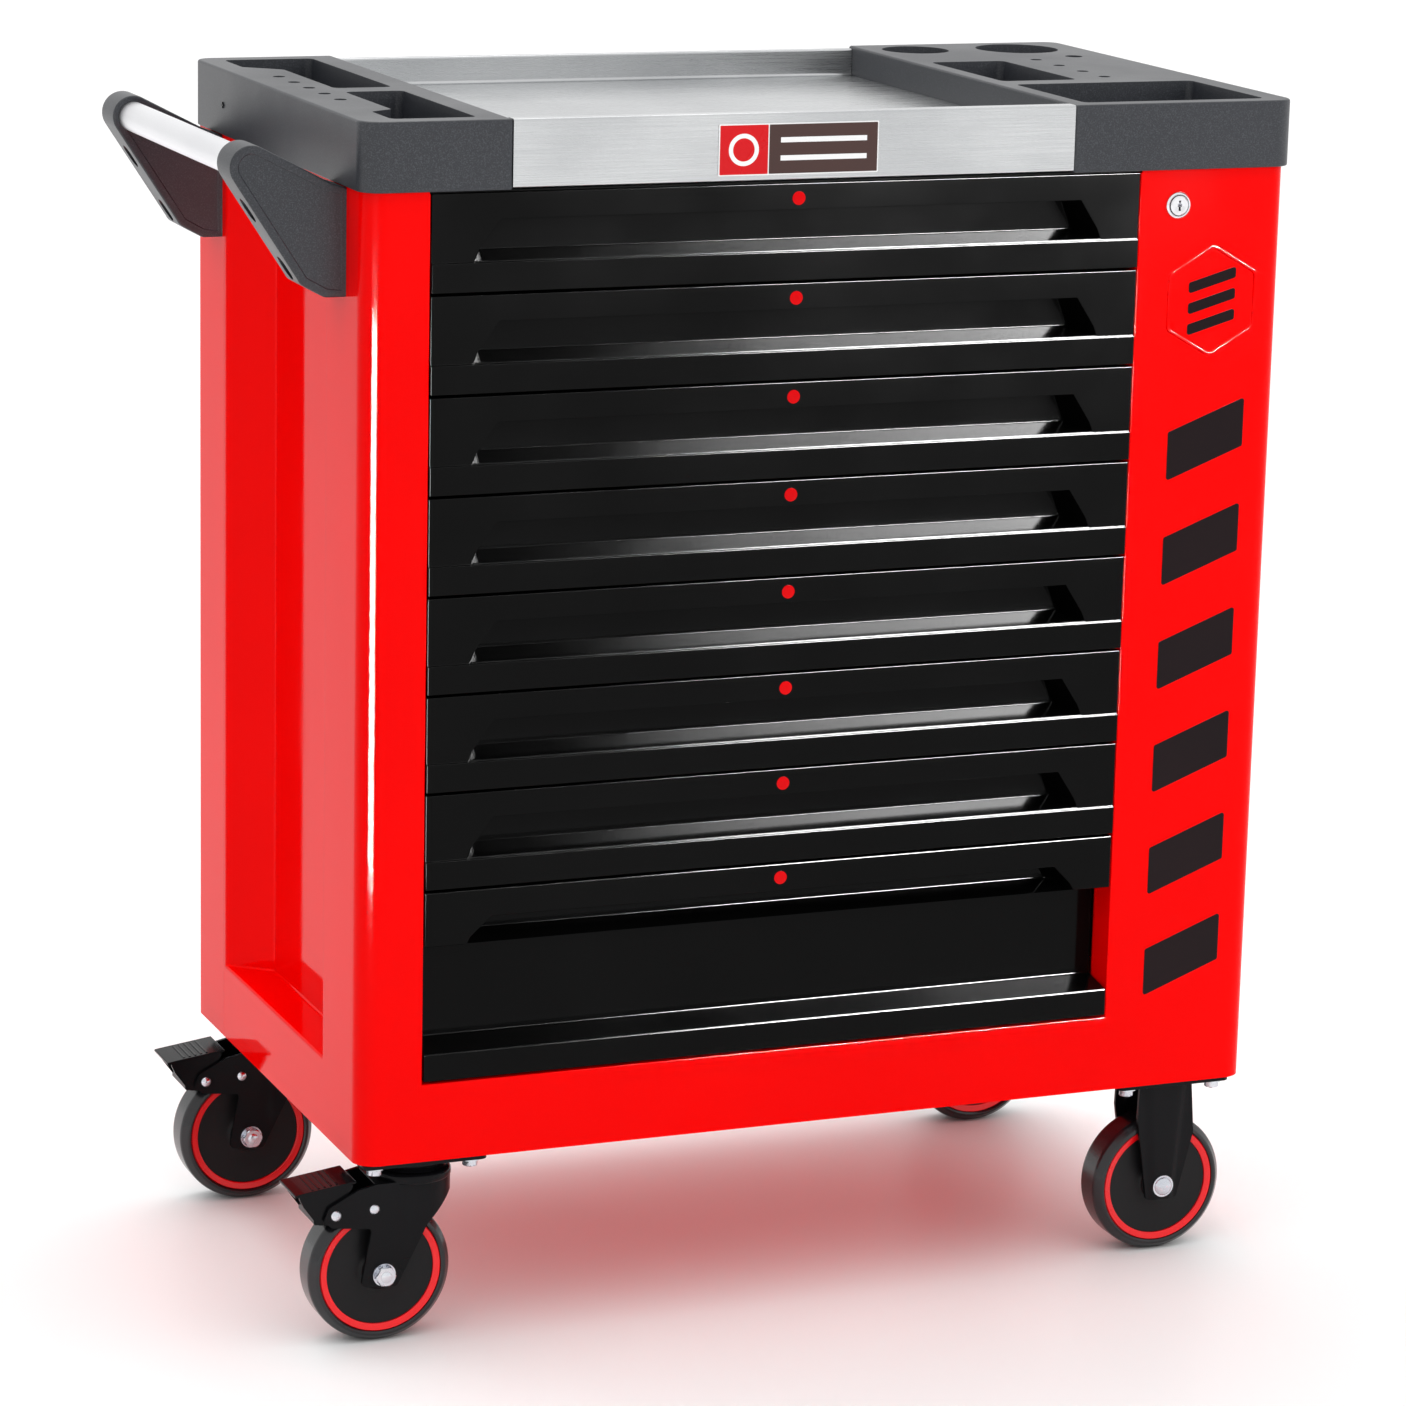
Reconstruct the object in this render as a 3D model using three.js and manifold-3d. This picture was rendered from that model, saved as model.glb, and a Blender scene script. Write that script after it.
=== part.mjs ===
// A rolling tool chest with eight drawers, in millimetres.
// +X points to the right, +Y to the back and +Z up. The shapes are laid out with x = 0 on the middle of
// the cabinet, y = 0 on its front face and z = 0 on the ground, and the finished group is then shifted
// so that its origin lies at the centre of its bounding box, on the ground.

import * as THREE from "three";
import { ConvexGeometry } from "three/addons/geometries/ConvexGeometry.js";
import { mergeVertices } from "three/addons/utils/BufferGeometryUtils.js";
import Module from "manifold-3d";

const wasm = await Module();
wasm.setup();

// ---------------------------------------------------------------- driving dimensions

const GAP = 0.3; // between pieces that touch
const SHEET = 1.5; // cabinet and drawer-front steel

// Cabinet
const BODY_W = 782;
const BODY_D = 442;
const BODY_H = 767;
const GROUND_GAP = 155; // from the ground to the underside of the cabinet
const POST_LEFT_W = 52; // flat front post beside the drawers
const POST_RIGHT_W = 133; // the wide one, which carries the lock
const POST_R = 18; // rounded front corners
const BACK_R = 5;
const JAMB_D = 29; // how far the posts' edges turn inwards
const RAIL_H = 63.5; // front rail under the drawers
const DECK_T = 1.2;
const PAN_T = 3;
const PAN_FLANGE_H = 25;
const BACK_WRAP = 74.5; // how far the back panel comes round each side

// Pressed recess in each side
const RECESS_FRONT = 94.5;
const RECESS_BACK = 362;
const RECESS_D = 34;
const RECESS_SLOPE = 29; // run of its slanted front and back walls
const RECESS_TOP_MARGIN = 12;

// Drawers
const SHALLOW_COUNT = 7;
const PITCH = 78;
const DRAWER_GAP = 2.5;
const SIDE_GAP = 1;
const FRONT_D = 31.5; // thickness of a hollow drawer front
const BAND_H = 22.5; // lower band of a front
const BAND_PROUD = 1.5;
const LEDGE_RISE = 5.5;
const SLIDE_SPACE = 13;
const BOX_WALL = 1.2;
const BOX_BACK = 418;
const SHALLOW_BOX_TOP = 66;
const DEEP_BOX_TOP = 142;
const DRAWER_RAIL = { bottom: 28, top: 44, depth: 6.3, front: 46 };
const FIXED_RAIL = { bottom: 24, top: 48, depth: 6, front: 44, back: 426 };
const RAIL_PLAY = 1.2; // between a drawer's rail and the groove it runs in
const RACK_POST_YS = [60, 350];
const RACK_POST_D = 30;
const BOX_LIFT = 2.5; // from a front's lower edge up to its box

// Finger pull: a hollow that narrows towards the back, as [left, right] ends and heights in a front
const PULL_FRONT = { bottom: [-307, 228], top: [-284, 208] };
const PULL_BACK = { bottom: [-291, 212], top: [-278, 198] };
const PULL_TOP = 53;
const PULL_ROOF_RISE = 9;
const DEEP_BAND_H = 44; // upper band of the deep drawer's front
const DEEP_PULL_H = 25; // from the top of that front down to its pull

// Lock
const LOCK_X = 292;
const LOCK_BELOW_TOP = 28.5;
const LOCK_TRAVEL = 8; // of the locking bar, to the left
const BAR_Y = 34;
const BAR_T = 2;
const LUG = { w: 7, bottom: 8, top: 14, back: 43 }; // heights above a drawer's lower edge
const FINGER = { clear: LUG.w + 2, w: 14, bottom: LUG.bottom + 1, top: LUG.top - 1 };
const SLEEVE_R = 9.4;
const FLANGE_R = 11;
const PLUG_R = 7.9;

// Top
const TOP_H = 54;
const OVERHANG_SIDE = 3;
const OVERHANG_FRONT = 4;
const OVERHANG_BACK = 4;
const TRAY_SEAM_LEFT = -275;
const TRAY_SEAM_RIGHT = 196;
const TRAY_WALL = 3;
const TRAY_FLOOR_UP = 8;
const WORKTOP_SUNK = 25;
const WORKTOP_LIP = 13;
const WORKTOP_RETURN = 14; // the lip's lower edge, turned back under
const TOE_CHAMFER = 24;
const SMALL_HOLE_R = 5;
const LARGE_HOLE_R = 7.5;
const LEFT_HOLE_X = -365;
const LEFT_HOLE_YS = [302, 262, 222, 182, 142];
const RIGHT_HOLE_X = 312;
const RIGHT_HOLE_YS = [311, 266, 221, 180];

// Push handle on the left side
const HANDLE_X = -466;
const HANDLE_DROP = 138.4; // from the rim of the top down to the brackets' feet
const GRIP_Z = 783; // above the cabinet's underside
const GRIP_R = 12;
const BRACKET_R = 17;
const BRACKET_T = 36;
const BRACKET_FRONT_Y = 44;
const BRACKET_REAR_Y = 372;

// Casters
const WHEEL_R = 59;
const TYRE_IN_R = 50.5;
const RING_IN_R = 44.5;
const TYRE_W = 36;
const CASTER_INSET_Y = 40;
const SWIVEL_X = -334;
const RIGID_X = 327;
const WHEEL_SIDES = 28;
const TRAIL = 30; // from the swivel axis back to the wheel's axle
const PLATE = { w: 104, d: 76, t: 3.5, holeX: 40, holeY: 28, holeR: 4.3 };
const LEG_T = 3;
const LEG_IN = 21.5;
const AXLE_R = 5;
const BRAKE_X = -70; // brake pivot from the swivel axis
const BRAKE_Z = 112;

// ---------------------------------------------------------------- derived places

const BASE_Z = GROUND_GAP;
const TOP_Z = BASE_Z + BODY_H;
const RIM_Z = TOP_Z + TOP_H;
const HALF_W = BODY_W / 2;
const OPEN_X0 = -HALF_W + POST_LEFT_W;
const OPEN_X1 = HALF_W - POST_RIGHT_W;
const FRONT_X0 = OPEN_X0 + SIDE_GAP;
const FRONT_X1 = OPEN_X1 - SIDE_GAP;
const SHALLOW_H = PITCH - DRAWER_GAP;
const DEEP_H = 2 * PITCH - DRAWER_GAP;
const FIRST_TOP = TOP_Z - DECK_T - 0.5;
const BOX_X0 = FRONT_X0 + SLIDE_SPACE;
const BOX_X1 = FRONT_X1 - SLIDE_SPACE;

// ---------------------------------------------------------------- materials

/** A plain material of one colour. */
function finish(color, roughness, metalness) {
  return new THREE.MeshStandardMaterial({ color, roughness, metalness });
}

const RED_PAINT = finish(0xe00008, 0.18, 0);
const BLACK_PAINT = finish(0x141414, 0.3, 0);
const GREY_PLASTIC = finish(0x45474d, 0.7, 0);
const STEEL = finish(0xc9cbcd, 0.35, 1);
const ZINC = finish(0xb8bcc0, 0.35, 1);
const ALUMINIUM = finish(0xd8d8da, 0.3, 1);
const BLACK_RUBBER = finish(0x16161a, 0.5, 0);
const BLACK_PLASTIC = finish(0x1b1b1b, 0.5, 0);
const CHROME = finish(0xdadada, 0.1, 1);

// ---------------------------------------------------------------- solids

/** The closed solid of a three.js geometry. */
function solid(geometry) {
  const bare = geometry.index ? geometry.toNonIndexed() : geometry.clone();
  bare.deleteAttribute("normal");
  bare.deleteAttribute("uv");
  const merged = mergeVertices(bare, 1e-4);
  return new wasm.Manifold(
    new wasm.Mesh({
      numProp: 3,
      vertProperties: new Float32Array(merged.attributes.position.array),
      triVerts: new Uint32Array(merged.index.array),
    }),
  );
}

/** All of the given solids joined into one. */
function join(...parts) {
  return parts.reduce((whole, part) => whole.add(part));
}

/** The first solid with all of the others taken out of it. */
function cut(whole, ...tools) {
  return tools.reduce((rest, tool) => rest.subtract(tool), whole);
}

/** A block between two values on each axis. */
function block(x0, x1, y0, y1, z0, z1) {
  const g = new THREE.BoxGeometry(x1 - x0, y1 - y0, z1 - z0);
  return solid(g.translate((x0 + x1) / 2, (y0 + y1) / 2, (z0 + z1) / 2));
}

/** A closed outline through [a, b] points. */
function outline(points) {
  return new THREE.Shape(points.map(([a, b]) => new THREE.Vector2(a, b)));
}

/** An outline in the X-Y plane, raised from z0 to z1. */
function prismZ(shape, z0, z1, curveSegments = 3) {
  const g = new THREE.ExtrudeGeometry(shape, { depth: z1 - z0, bevelEnabled: false, curveSegments });
  return solid(g.translate(0, 0, z0));
}

/** An outline of (x, z) points, run from y0 to y1. */
function prismY(shape, y0, y1, curveSegments = 3) {
  const g = new THREE.ExtrudeGeometry(shape, { depth: y1 - y0, bevelEnabled: false, curveSegments });
  return solid(g.rotateX(Math.PI / 2).translate(0, y1, 0));
}

/** An outline of (y, z) points, run from x0 to x1. */
function prismX(shape, x0, x1, curveSegments = 3) {
  const g = new THREE.ExtrudeGeometry(shape, { depth: x1 - x0, bevelEnabled: false, curveSegments });
  const turned = new THREE.Matrix4().makeBasis(
    new THREE.Vector3(0, 1, 0),
    new THREE.Vector3(0, 0, 1),
    new THREE.Vector3(1, 0, 0),
  );
  return solid(g.applyMatrix4(turned).translate(x0, 0, 0));
}

/** A round bar along Y. */
function rodY(x, z, r, y0, y1, sides = 20) {
  const g = new THREE.CylinderGeometry(r, r, y1 - y0, sides);
  return solid(g.translate(x, (y0 + y1) / 2, z));
}

/** A round bar along Z. */
function rodZ(x, y, r, z0, z1, sides = 20) {
  const g = new THREE.CylinderGeometry(r, r, z1 - z0, sides).rotateX(Math.PI / 2);
  return solid(g.translate(x, y, (z0 + z1) / 2));
}

/** A round bar along X. */
function rodX(y, z, r, x0, x1, sides = 20) {
  const g = new THREE.CylinderGeometry(r, r, x1 - x0, sides).rotateZ(Math.PI / 2);
  return solid(g.translate((x0 + x1) / 2, y, z));
}

/** A body turned about the Y axis from a closed profile of [radius, y] points. */
function turnedY(profile, segments) {
  const points = profile.map(([r, y]) => new THREE.Vector2(r, y));
  return solid(new THREE.LatheGeometry(points, segments));
}

/** The convex body around [x, y, z] points. */
function hull(points) {
  return solid(new ConvexGeometry(points.map((p) => new THREE.Vector3(...p))));
}

/** A rectangle in the X-Y plane with its own radius at each corner, from front left anticlockwise. */
function roundedPlan(x0, x1, y0, y1, frontLeft, frontRight, backRight, backLeft) {
  const s = new THREE.Shape();
  s.moveTo(x0 + frontLeft, y0);
  s.lineTo(x1 - frontRight, y0);
  if (frontRight) s.absarc(x1 - frontRight, y0 + frontRight, frontRight, -Math.PI / 2, 0);
  s.lineTo(x1, y1 - backRight);
  if (backRight) s.absarc(x1 - backRight, y1 - backRight, backRight, 0, Math.PI / 2);
  s.lineTo(x0 + backLeft, y1);
  if (backLeft) s.absarc(x0 + backLeft, y1 - backLeft, backLeft, Math.PI / 2, Math.PI);
  s.lineTo(x0, y0 + frontLeft);
  if (frontLeft) s.absarc(x0 + frontLeft, y0 + frontLeft, frontLeft, Math.PI, 1.5 * Math.PI);
  return s;
}

// ---------------------------------------------------------------- the scene

const chest = new THREE.Group();

/** Adds a solid to the chest as a named mesh, moved by the given offset. */
function place(name, body, material, [x, y, z] = [0, 0, 0]) {
  const mesh = body.getMesh();
  const geometry = new THREE.BufferGeometry();
  geometry.setAttribute("position", new THREE.BufferAttribute(new Float32Array(mesh.vertProperties), 3));
  geometry.setIndex(new THREE.BufferAttribute(new Uint32Array(mesh.triVerts), 1));
  geometry.computeVertexNormals();
  const piece = new THREE.Mesh(geometry, material);
  piece.name = name;
  piece.position.set(x, y, z);
  chest.add(piece);
}

// ---------------------------------------------------------------- cabinet

/** A side panel with its front post, jamb and pressed recess. side is -1 on the left, 1 on the right. */
function sidePanel(side, openX) {
  const out = side * HALF_W;
  const inside = side * (HALF_W - SHEET);
  const cornerX = side * (HALF_W - POST_R);
  const jambX = openX + side * SHEET;
  const plan = new THREE.Shape();
  const backY = BODY_D - BACK_WRAP - GAP;
  plan.moveTo(openX, JAMB_D);
  plan.lineTo(openX, 0);
  plan.lineTo(cornerX, 0);
  plan.absarc(cornerX, POST_R, POST_R, -Math.PI / 2, side < 0 ? Math.PI : 0, side < 0);
  plan.lineTo(out, backY);
  plan.lineTo(inside, backY);
  plan.lineTo(inside, POST_R);
  plan.absarc(cornerX, POST_R, POST_R - SHEET, side < 0 ? Math.PI : 0, -Math.PI / 2, side > 0);
  plan.lineTo(jambX, SHEET);
  plan.lineTo(jambX, JAMB_D);
  const wall = prismZ(plan, BASE_Z, TOP_Z);
  const [jambX0, jambX1] = [Math.min(openX, jambX) - 1, Math.max(openX, jambX) + 0.01];
  const jambEnds = [
    [BASE_Z - 1, BASE_Z + RAIL_H],
    [FIRST_TOP, TOP_Z + 1],
  ].map(([low, high]) => block(jambX0, jambX1, SHEET, JAMB_D + 1, low, high));
  const z0 = BASE_Z + RAIL_H;
  const z1 = TOP_Z - RECESS_TOP_MARGIN;
  const dish = (t, lift) => {
    const mouthX = out + side * lift;
    const floorX = out - side * (RECESS_D + t);
    return hull([
      [mouthX, RECESS_FRONT - t, z0 - t],
      [mouthX, RECESS_BACK + t, z0 - t],
      [mouthX, RECESS_BACK + t, z1 + t],
      [mouthX, RECESS_FRONT - t, z1 + t],
      [floorX, RECESS_FRONT + RECESS_SLOPE - t, z0 - t],
      [floorX, RECESS_BACK - RECESS_SLOPE + t, z0 - t],
      [floorX, RECESS_BACK - RECESS_SLOPE + t, z1 + t],
      [floorX, RECESS_FRONT + RECESS_SLOPE - t, z1 + t],
    ]);
  };
  return cut(cut(wall, ...jambEnds).add(dish(SHEET, 0)), dish(0, 1));
}

/** The back panel, which comes round both sides. */
function backPanel() {
  const y0 = BODY_D - BACK_WRAP;
  const outer = prismZ(roundedPlan(-HALF_W, HALF_W, y0, BODY_D, 0, 0, BACK_R, BACK_R), BASE_Z, TOP_Z);
  const r = BACK_R - SHEET;
  const inner = roundedPlan(-HALF_W + SHEET, HALF_W - SHEET, y0 - 1, BODY_D - SHEET, 0, 0, r, r);
  return cut(outer, prismZ(inner, BASE_Z - 1, TOP_Z + 1));
}

/** The floor of the cabinet: a pan with its four edges turned up. */
function basePan() {
  const x = HALF_W - SHEET - GAP;
  const y0 = SHEET + GAP;
  const y1 = BODY_D - SHEET - GAP;
  const z = BASE_Z + GAP;
  const outer = prismZ(roundedPlan(-x, x, y0, y1, POST_R, POST_R, BACK_R, BACK_R), z, z + PAN_FLANGE_H);
  const plan = roundedPlan(-x + SHEET, x - SHEET, y0 + SHEET, y1 - SHEET, POST_R, POST_R, BACK_R, BACK_R);
  return cut(outer, prismZ(plan, z + PAN_T, z + PAN_FLANGE_H + 1));
}

/** The rail under the drawers, with its top edge turned inwards. */
function frontRail() {
  const z1 = BASE_Z + RAIL_H;
  const section = outline([
    [0, BASE_Z],
    [0, z1],
    [JAMB_D, z1],
    [JAMB_D, z1 - SHEET],
    [SHEET, z1 - SHEET],
    [SHEET, BASE_Z],
  ]);
  return prismX(section, OPEN_X0 + GAP, OPEN_X1 - GAP);
}

/** The flat deck that closes the cabinet under the trays and the worktop. */
function topDeck() {
  const x = HALF_W - SHEET - GAP;
  const y0 = SHEET + GAP;
  const y1 = BODY_D - SHEET - GAP;
  return prismZ(roundedPlan(-x, x, y0, y1, POST_R, POST_R, BACK_R, BACK_R), TOP_Z - DECK_T, TOP_Z);
}

/** The height of a drawer's lower edge above the ground; index 0 is the top drawer. */
function drawerZ(index) {
  const height = index < SHALLOW_COUNT ? SHALLOW_H : DEEP_H;
  return FIRST_TOP - index * PITCH - height;
}

/** Two uprights and the fixed slide members of one side, as one welded frame. side is -1 or 1. */
function slideRack(side) {
  const openX = side < 0 ? OPEN_X0 : OPEN_X1;
  const x0 = openX - side * 0.5;
  const railX = x0 - side * FIXED_RAIL.depth;
  const postX = openX + side * 13;
  const span = (a, b) => [Math.min(a, b), Math.max(a, b)];
  const parts = RACK_POST_YS.map((y) => {
    const y1 = y + RACK_POST_D;
    const post = block(...span(x0, postX), y, y1, BASE_Z + PAN_T + 2 * GAP, TOP_Z - DECK_T - GAP);
    const hollow = block(...span(x0 + side * SHEET, postX + side), y + SHEET, y1 - SHEET, BASE_Z, TOP_Z);
    return cut(post, hollow);
  });
  for (let i = 0; i <= SHALLOW_COUNT; i++) {
    const z = drawerZ(i);
    const rail = block(
      ...span(railX, x0),
      FIXED_RAIL.front,
      FIXED_RAIL.back,
      z + FIXED_RAIL.bottom,
      z + FIXED_RAIL.top,
    );
    const groove = block(
      ...span(railX - side, x0 - side * SHEET),
      FIXED_RAIL.front - 1,
      FIXED_RAIL.back + 1,
      z + DRAWER_RAIL.bottom - RAIL_PLAY,
      z + DRAWER_RAIL.top + RAIL_PLAY,
    );
    parts.push(cut(rail, groove));
  }
  return join(...parts);
}

// ---------------------------------------------------------------- drawers

/** The finger pull's hollow, as a body tapering towards the back. */
function pullHollow(bottomZ, topZ, sideOffset) {
  const y0 = -1;
  const y1 = FRONT_D - SHEET;
  const floorZ = bottomZ + LEDGE_RISE;
  const roofZ = topZ + PULL_ROOF_RISE + sideOffset;
  const wide = ([a, b]) => [a - sideOffset, b + sideOffset];
  const [fb0, fb1] = wide(PULL_FRONT.bottom);
  const [ft0, ft1] = wide(PULL_FRONT.top);
  const [bb0, bb1] = wide(PULL_BACK.bottom);
  const [bt0, bt1] = wide(PULL_BACK.top);
  return hull([
    [fb0, y0, bottomZ],
    [fb1, y0, bottomZ],
    [ft0, y0, topZ + sideOffset],
    [ft1, y0, topZ + sideOffset],
    [bb0, y1, floorZ],
    [bb1, y1, floorZ],
    [bt0, y1, roofZ],
    [bt1, y1, roofZ],
  ]);
}

/** The folded sheet behind a drawer front: lower band, ledge and rear wall. */
function frontChannel(height) {
  const backY = FRONT_D - SHEET;
  const section = outline([
    [-BAND_PROUD, 0],
    [-BAND_PROUD, BAND_H],
    [backY, BAND_H + LEDGE_RISE],
    [backY, height],
    [FRONT_D, height],
    [FRONT_D, BAND_H + LEDGE_RISE - SHEET],
    [0, BAND_H - SHEET],
    [0, SHEET],
    [FRONT_D, SHEET],
    [FRONT_D, 0],
  ]);
  return prismX(section, FRONT_X0, FRONT_X1);
}

/** The long slot in a front's rear wall, level with its upper band, which lets paint drain out. */
function drainSlot(height) {
  return block(FRONT_X0 + 12, FRONT_X1 - 12, FRONT_D - SHEET - 1, FRONT_D + 1, height - 8, height - 3);
}

/** A shallow drawer's hollow front with its finger pull. */
function shallowFront() {
  const h = SHALLOW_H;
  const plate = block(FRONT_X0, FRONT_X1, 0, SHEET, BAND_H - 1, h);
  const lid = block(FRONT_X0, FRONT_X1, 0, FRONT_D, h - SHEET, h);
  const leftEnd = block(FRONT_X0, FRONT_X0 + SHEET, 0, FRONT_D, SHEET / 2, h);
  const rightEnd = block(FRONT_X1 - SHEET, FRONT_X1, 0, FRONT_D, SHEET / 2, h);
  const lining = cut(pullHollow(BAND_H, PULL_TOP, SHEET), block(-HALF_W, HALF_W, -5, 0, 0, h));
  const shell = join(frontChannel(h), plate, lid, leftEnd, rightEnd, lining);
  return cut(shell, pullHollow(BAND_H + 2 * GAP, PULL_TOP, 0), drainSlot(h));
}

/** The deep drawer's front: an upper band with the same pull, over a wide recessed panel. */
function deepFront() {
  const h = DEEP_H;
  const bandBottom = h - DEEP_BAND_H;
  const pullTop = h - DEEP_PULL_H;
  const pullBottom = bandBottom - 12;
  const plate = block(FRONT_X0, FRONT_X1, 0, SHEET, bandBottom, h);
  const lid = block(FRONT_X0, FRONT_X1, 0, FRONT_D, h - SHEET, h);
  const underside = block(FRONT_X0, FRONT_X1, 0, FRONT_D, bandBottom, bandBottom + SHEET);
  const leftEnd = block(FRONT_X0, FRONT_X0 + SHEET, 0, FRONT_D, bandBottom, h);
  const rightEnd = block(FRONT_X1 - SHEET, FRONT_X1, 0, FRONT_D, bandBottom, h);
  const lining = cut(
    pullHollow(pullBottom, pullTop, SHEET),
    block(-HALF_W, HALF_W, -5, 0, 0, h),
    block(-HALF_W, HALF_W, -5, FRONT_D + 1, 0, bandBottom),
  );
  const shell = join(frontChannel(h), plate, lid, underside, leftEnd, rightEnd, lining);
  return cut(shell, pullHollow(pullBottom, pullTop, 0), drainSlot(h));
}

/** A drawer's open box with its two slide members and the lug that the lock catches. */
function drawerBox(top) {
  const y0 = FRONT_D + GAP;
  const z0 = BOX_LIFT;
  const outer = block(BOX_X0, BOX_X1, y0, BOX_BACK, z0, top);
  const inner = block(
    BOX_X0 + BOX_WALL,
    BOX_X1 - BOX_WALL,
    y0 + BOX_WALL,
    BOX_BACK - BOX_WALL,
    z0 + BOX_WALL,
    top + 1,
  );
  const { bottom, top: railTop, depth, front } = DRAWER_RAIL;
  const railLeft = block(BOX_X0 - depth + 1, BOX_X0, front, BOX_BACK, bottom, railTop);
  const railRight = block(BOX_X1, BOX_X1 + depth - 1, front, BOX_BACK, bottom, railTop);
  const lug = block(BOX_X1, BOX_X1 + LUG.w, BAR_Y + BAR_T + 1, LUG.back, LUG.bottom, LUG.top);
  return join(cut(outer, inner), railLeft, railRight, lug);
}

// ---------------------------------------------------------------- lock

/** The chrome sleeve of the lock, set in the right-hand post. */
function lockHousing() {
  const z = TOP_Z - LOCK_BELOW_TOP;
  const flange = rodY(LOCK_X, z, FLANGE_R, -3, -GAP);
  const sleeve = rodY(LOCK_X, z, SLEEVE_R, -1, 22);
  return cut(flange.add(sleeve), rodY(LOCK_X, z, PLUG_R + GAP + 0.1, -4, 23));
}

/** The turning plug, with its key slot and the cam on its inner end. */
function lockPlug() {
  const z = TOP_Z - LOCK_BELOW_TOP;
  const barrel = rodY(LOCK_X, z, PLUG_R, -3.6, 26);
  const neck = rodY(LOCK_X, z, 4, 25, 32.5, 12);
  const cam = block(LOCK_X - 5, LOCK_X + 5, 29.5, 32.5, z - 5, z + LOCK_TRAVEL + 5);
  const slot = block(LOCK_X - 0.8, LOCK_X + 0.8, -5, 6, z - 4.5, z + 4.5);
  return cut(join(barrel, neck, cam), slot);
}

/** The comb-shaped bar that stops all of the drawers at once, with a tab that reaches the lock's cam. */
function lockBar() {
  const bottom = drawerZ(SHALLOW_COUNT) + 1;
  const top = TOP_Z - 14;
  const strip = block(OPEN_X1 + 4, OPEN_X1 + 18, BAR_Y, BAR_Y + BAR_T, bottom, top);
  const fingers = [];
  for (let i = 0; i <= SHALLOW_COUNT; i++) {
    const z = drawerZ(i);
    const x0 = BOX_X1 + FINGER.clear;
    fingers.push(block(x0, x0 + FINGER.w, BAR_Y, BAR_Y + BAR_T, z + FINGER.bottom, z + FINGER.top));
  }
  const tab = block(OPEN_X1 + 4, LOCK_X + 6, BAR_Y, BAR_Y + BAR_T, top - 14, top);
  return join(strip, tab, ...fingers);
}

// ---------------------------------------------------------------- top

const TRAY_Z0 = TOP_Z + GAP;
const TRAY_Y0 = -OVERHANG_FRONT;
const TRAY_Y1 = BODY_D + OVERHANG_BACK;

const PIT_Z = TRAY_Z0 + TRAY_FLOOR_UP;

/** A hollow moulded tray: each pit has its outer tub and its hollow, drills are [x, y, radius]. */
function mouldedTray(plan, innerPlan, pits, drills) {
  const shell = cut(prismZ(plan, TRAY_Z0, RIM_Z), prismZ(innerPlan, TRAY_Z0 - 1, RIM_Z - TRAY_WALL));
  const holes = drills.map(([x, y, r]) => rodZ(x, y, r, RIM_Z - 2 * TRAY_WALL, RIM_Z + 1, 10));
  return cut(join(shell, ...pits.map((pit) => pit.tub)), ...pits.map((pit) => pit.hollow), ...holes);
}

/** A pit whose plan is given as a function of how far it is grown outwards. */
function pitFromPlan(plan) {
  return {
    tub: prismZ(plan(TRAY_WALL), PIT_Z, RIM_Z - 1, 2),
    hollow: prismZ(plan(0), PIT_Z + TRAY_WALL, RIM_Z + 1, 2),
  };
}

/** A pit with straight sides. */
function boxPit(x0, x1, y0, y1) {
  return pitFromPlan((w) => {
    const r = 5 + w;
    return roundedPlan(x0 - w, x1 + w, y0 - w, y1 + w, r, r, r, r);
  });
}

/** A round pit for a can or cup. */
function roundPit(x, y, r) {
  return {
    tub: rodZ(x, y, r + TRAY_WALL, PIT_Z, RIM_Z - 1, 28),
    hollow: rodZ(x, y, r, PIT_Z + TRAY_WALL, RIM_Z + 1, 28),
  };
}

/** An L-shaped pit: a narrow bin with a wider toe, chamfered where it narrows, at its back or front end. */
function toePit(x0, x1, toeX, y0, y1, toeEnd, atBack) {
  return pitFromPlan((w) => {
    const [left, right, front, back, toe] = [x0 - w, x1 + w, y0 - w, y1 + w, toeX - w];
    const corners = [
      [right, front],
      [right, back],
    ];
    if (atBack) corners.push([toe, back], [toe, toeEnd + TOE_CHAMFER - w], [left, toeEnd - w], [left, front]);
    else corners.push([left, back], [left, toeEnd + w], [toe, toeEnd - TOE_CHAMFER / 2 + w], [toe, front]);
    return outline(corners);
  });
}

/** The left tray: two bins and a row of holes for drivers. */
function trayLeft() {
  const x0 = -HALF_W - OVERHANG_SIDE;
  const x1 = TRAY_SEAM_LEFT - GAP / 2;
  const w = TRAY_WALL;
  const plan = roundedPlan(x0, x1, TRAY_Y0, TRAY_Y1, 18, 2, 2, 14);
  const inner = roundedPlan(x0 + w, x1 - w, TRAY_Y0 + w, TRAY_Y1 - w, 15, 0, 0, 11);
  const rear = toePit(-346, -298, -374, 216, 426, 350, true);
  const front = toePit(-346, -298, -366, 14, 190, 74, false);
  return mouldedTray(plan, inner, [rear, front], LEFT_HOLE_YS.map((y) => [LEFT_HOLE_X, y, SMALL_HOLE_R]));
}

/** The right tray: two cup holders, two bins and a few holes. */
function trayRight() {
  const x0 = TRAY_SEAM_RIGHT + GAP / 2;
  const x1 = HALF_W + OVERHANG_SIDE;
  const w = TRAY_WALL;
  const plan = roundedPlan(x0, x1, TRAY_Y0, TRAY_Y1, 2, 18, 14, 2);
  const inner = roundedPlan(x0 + w, x1 - w, TRAY_Y0 + w, TRAY_Y1 - w, 0, 15, 11, 0);
  const pits = [
    roundPit(240, 402, 29),
    roundPit(334, 396, 36),
    boxPit(211, 279, 164, 307),
    boxPit(211, 372, 12, 140),
  ];
  const drills = RIGHT_HOLE_YS.map((y) => [RIGHT_HOLE_X, y, SMALL_HOLE_R]);
  return mouldedTray(plan, inner, pits, [...drills, [357, 330, LARGE_HOLE_R]]);
}

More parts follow.
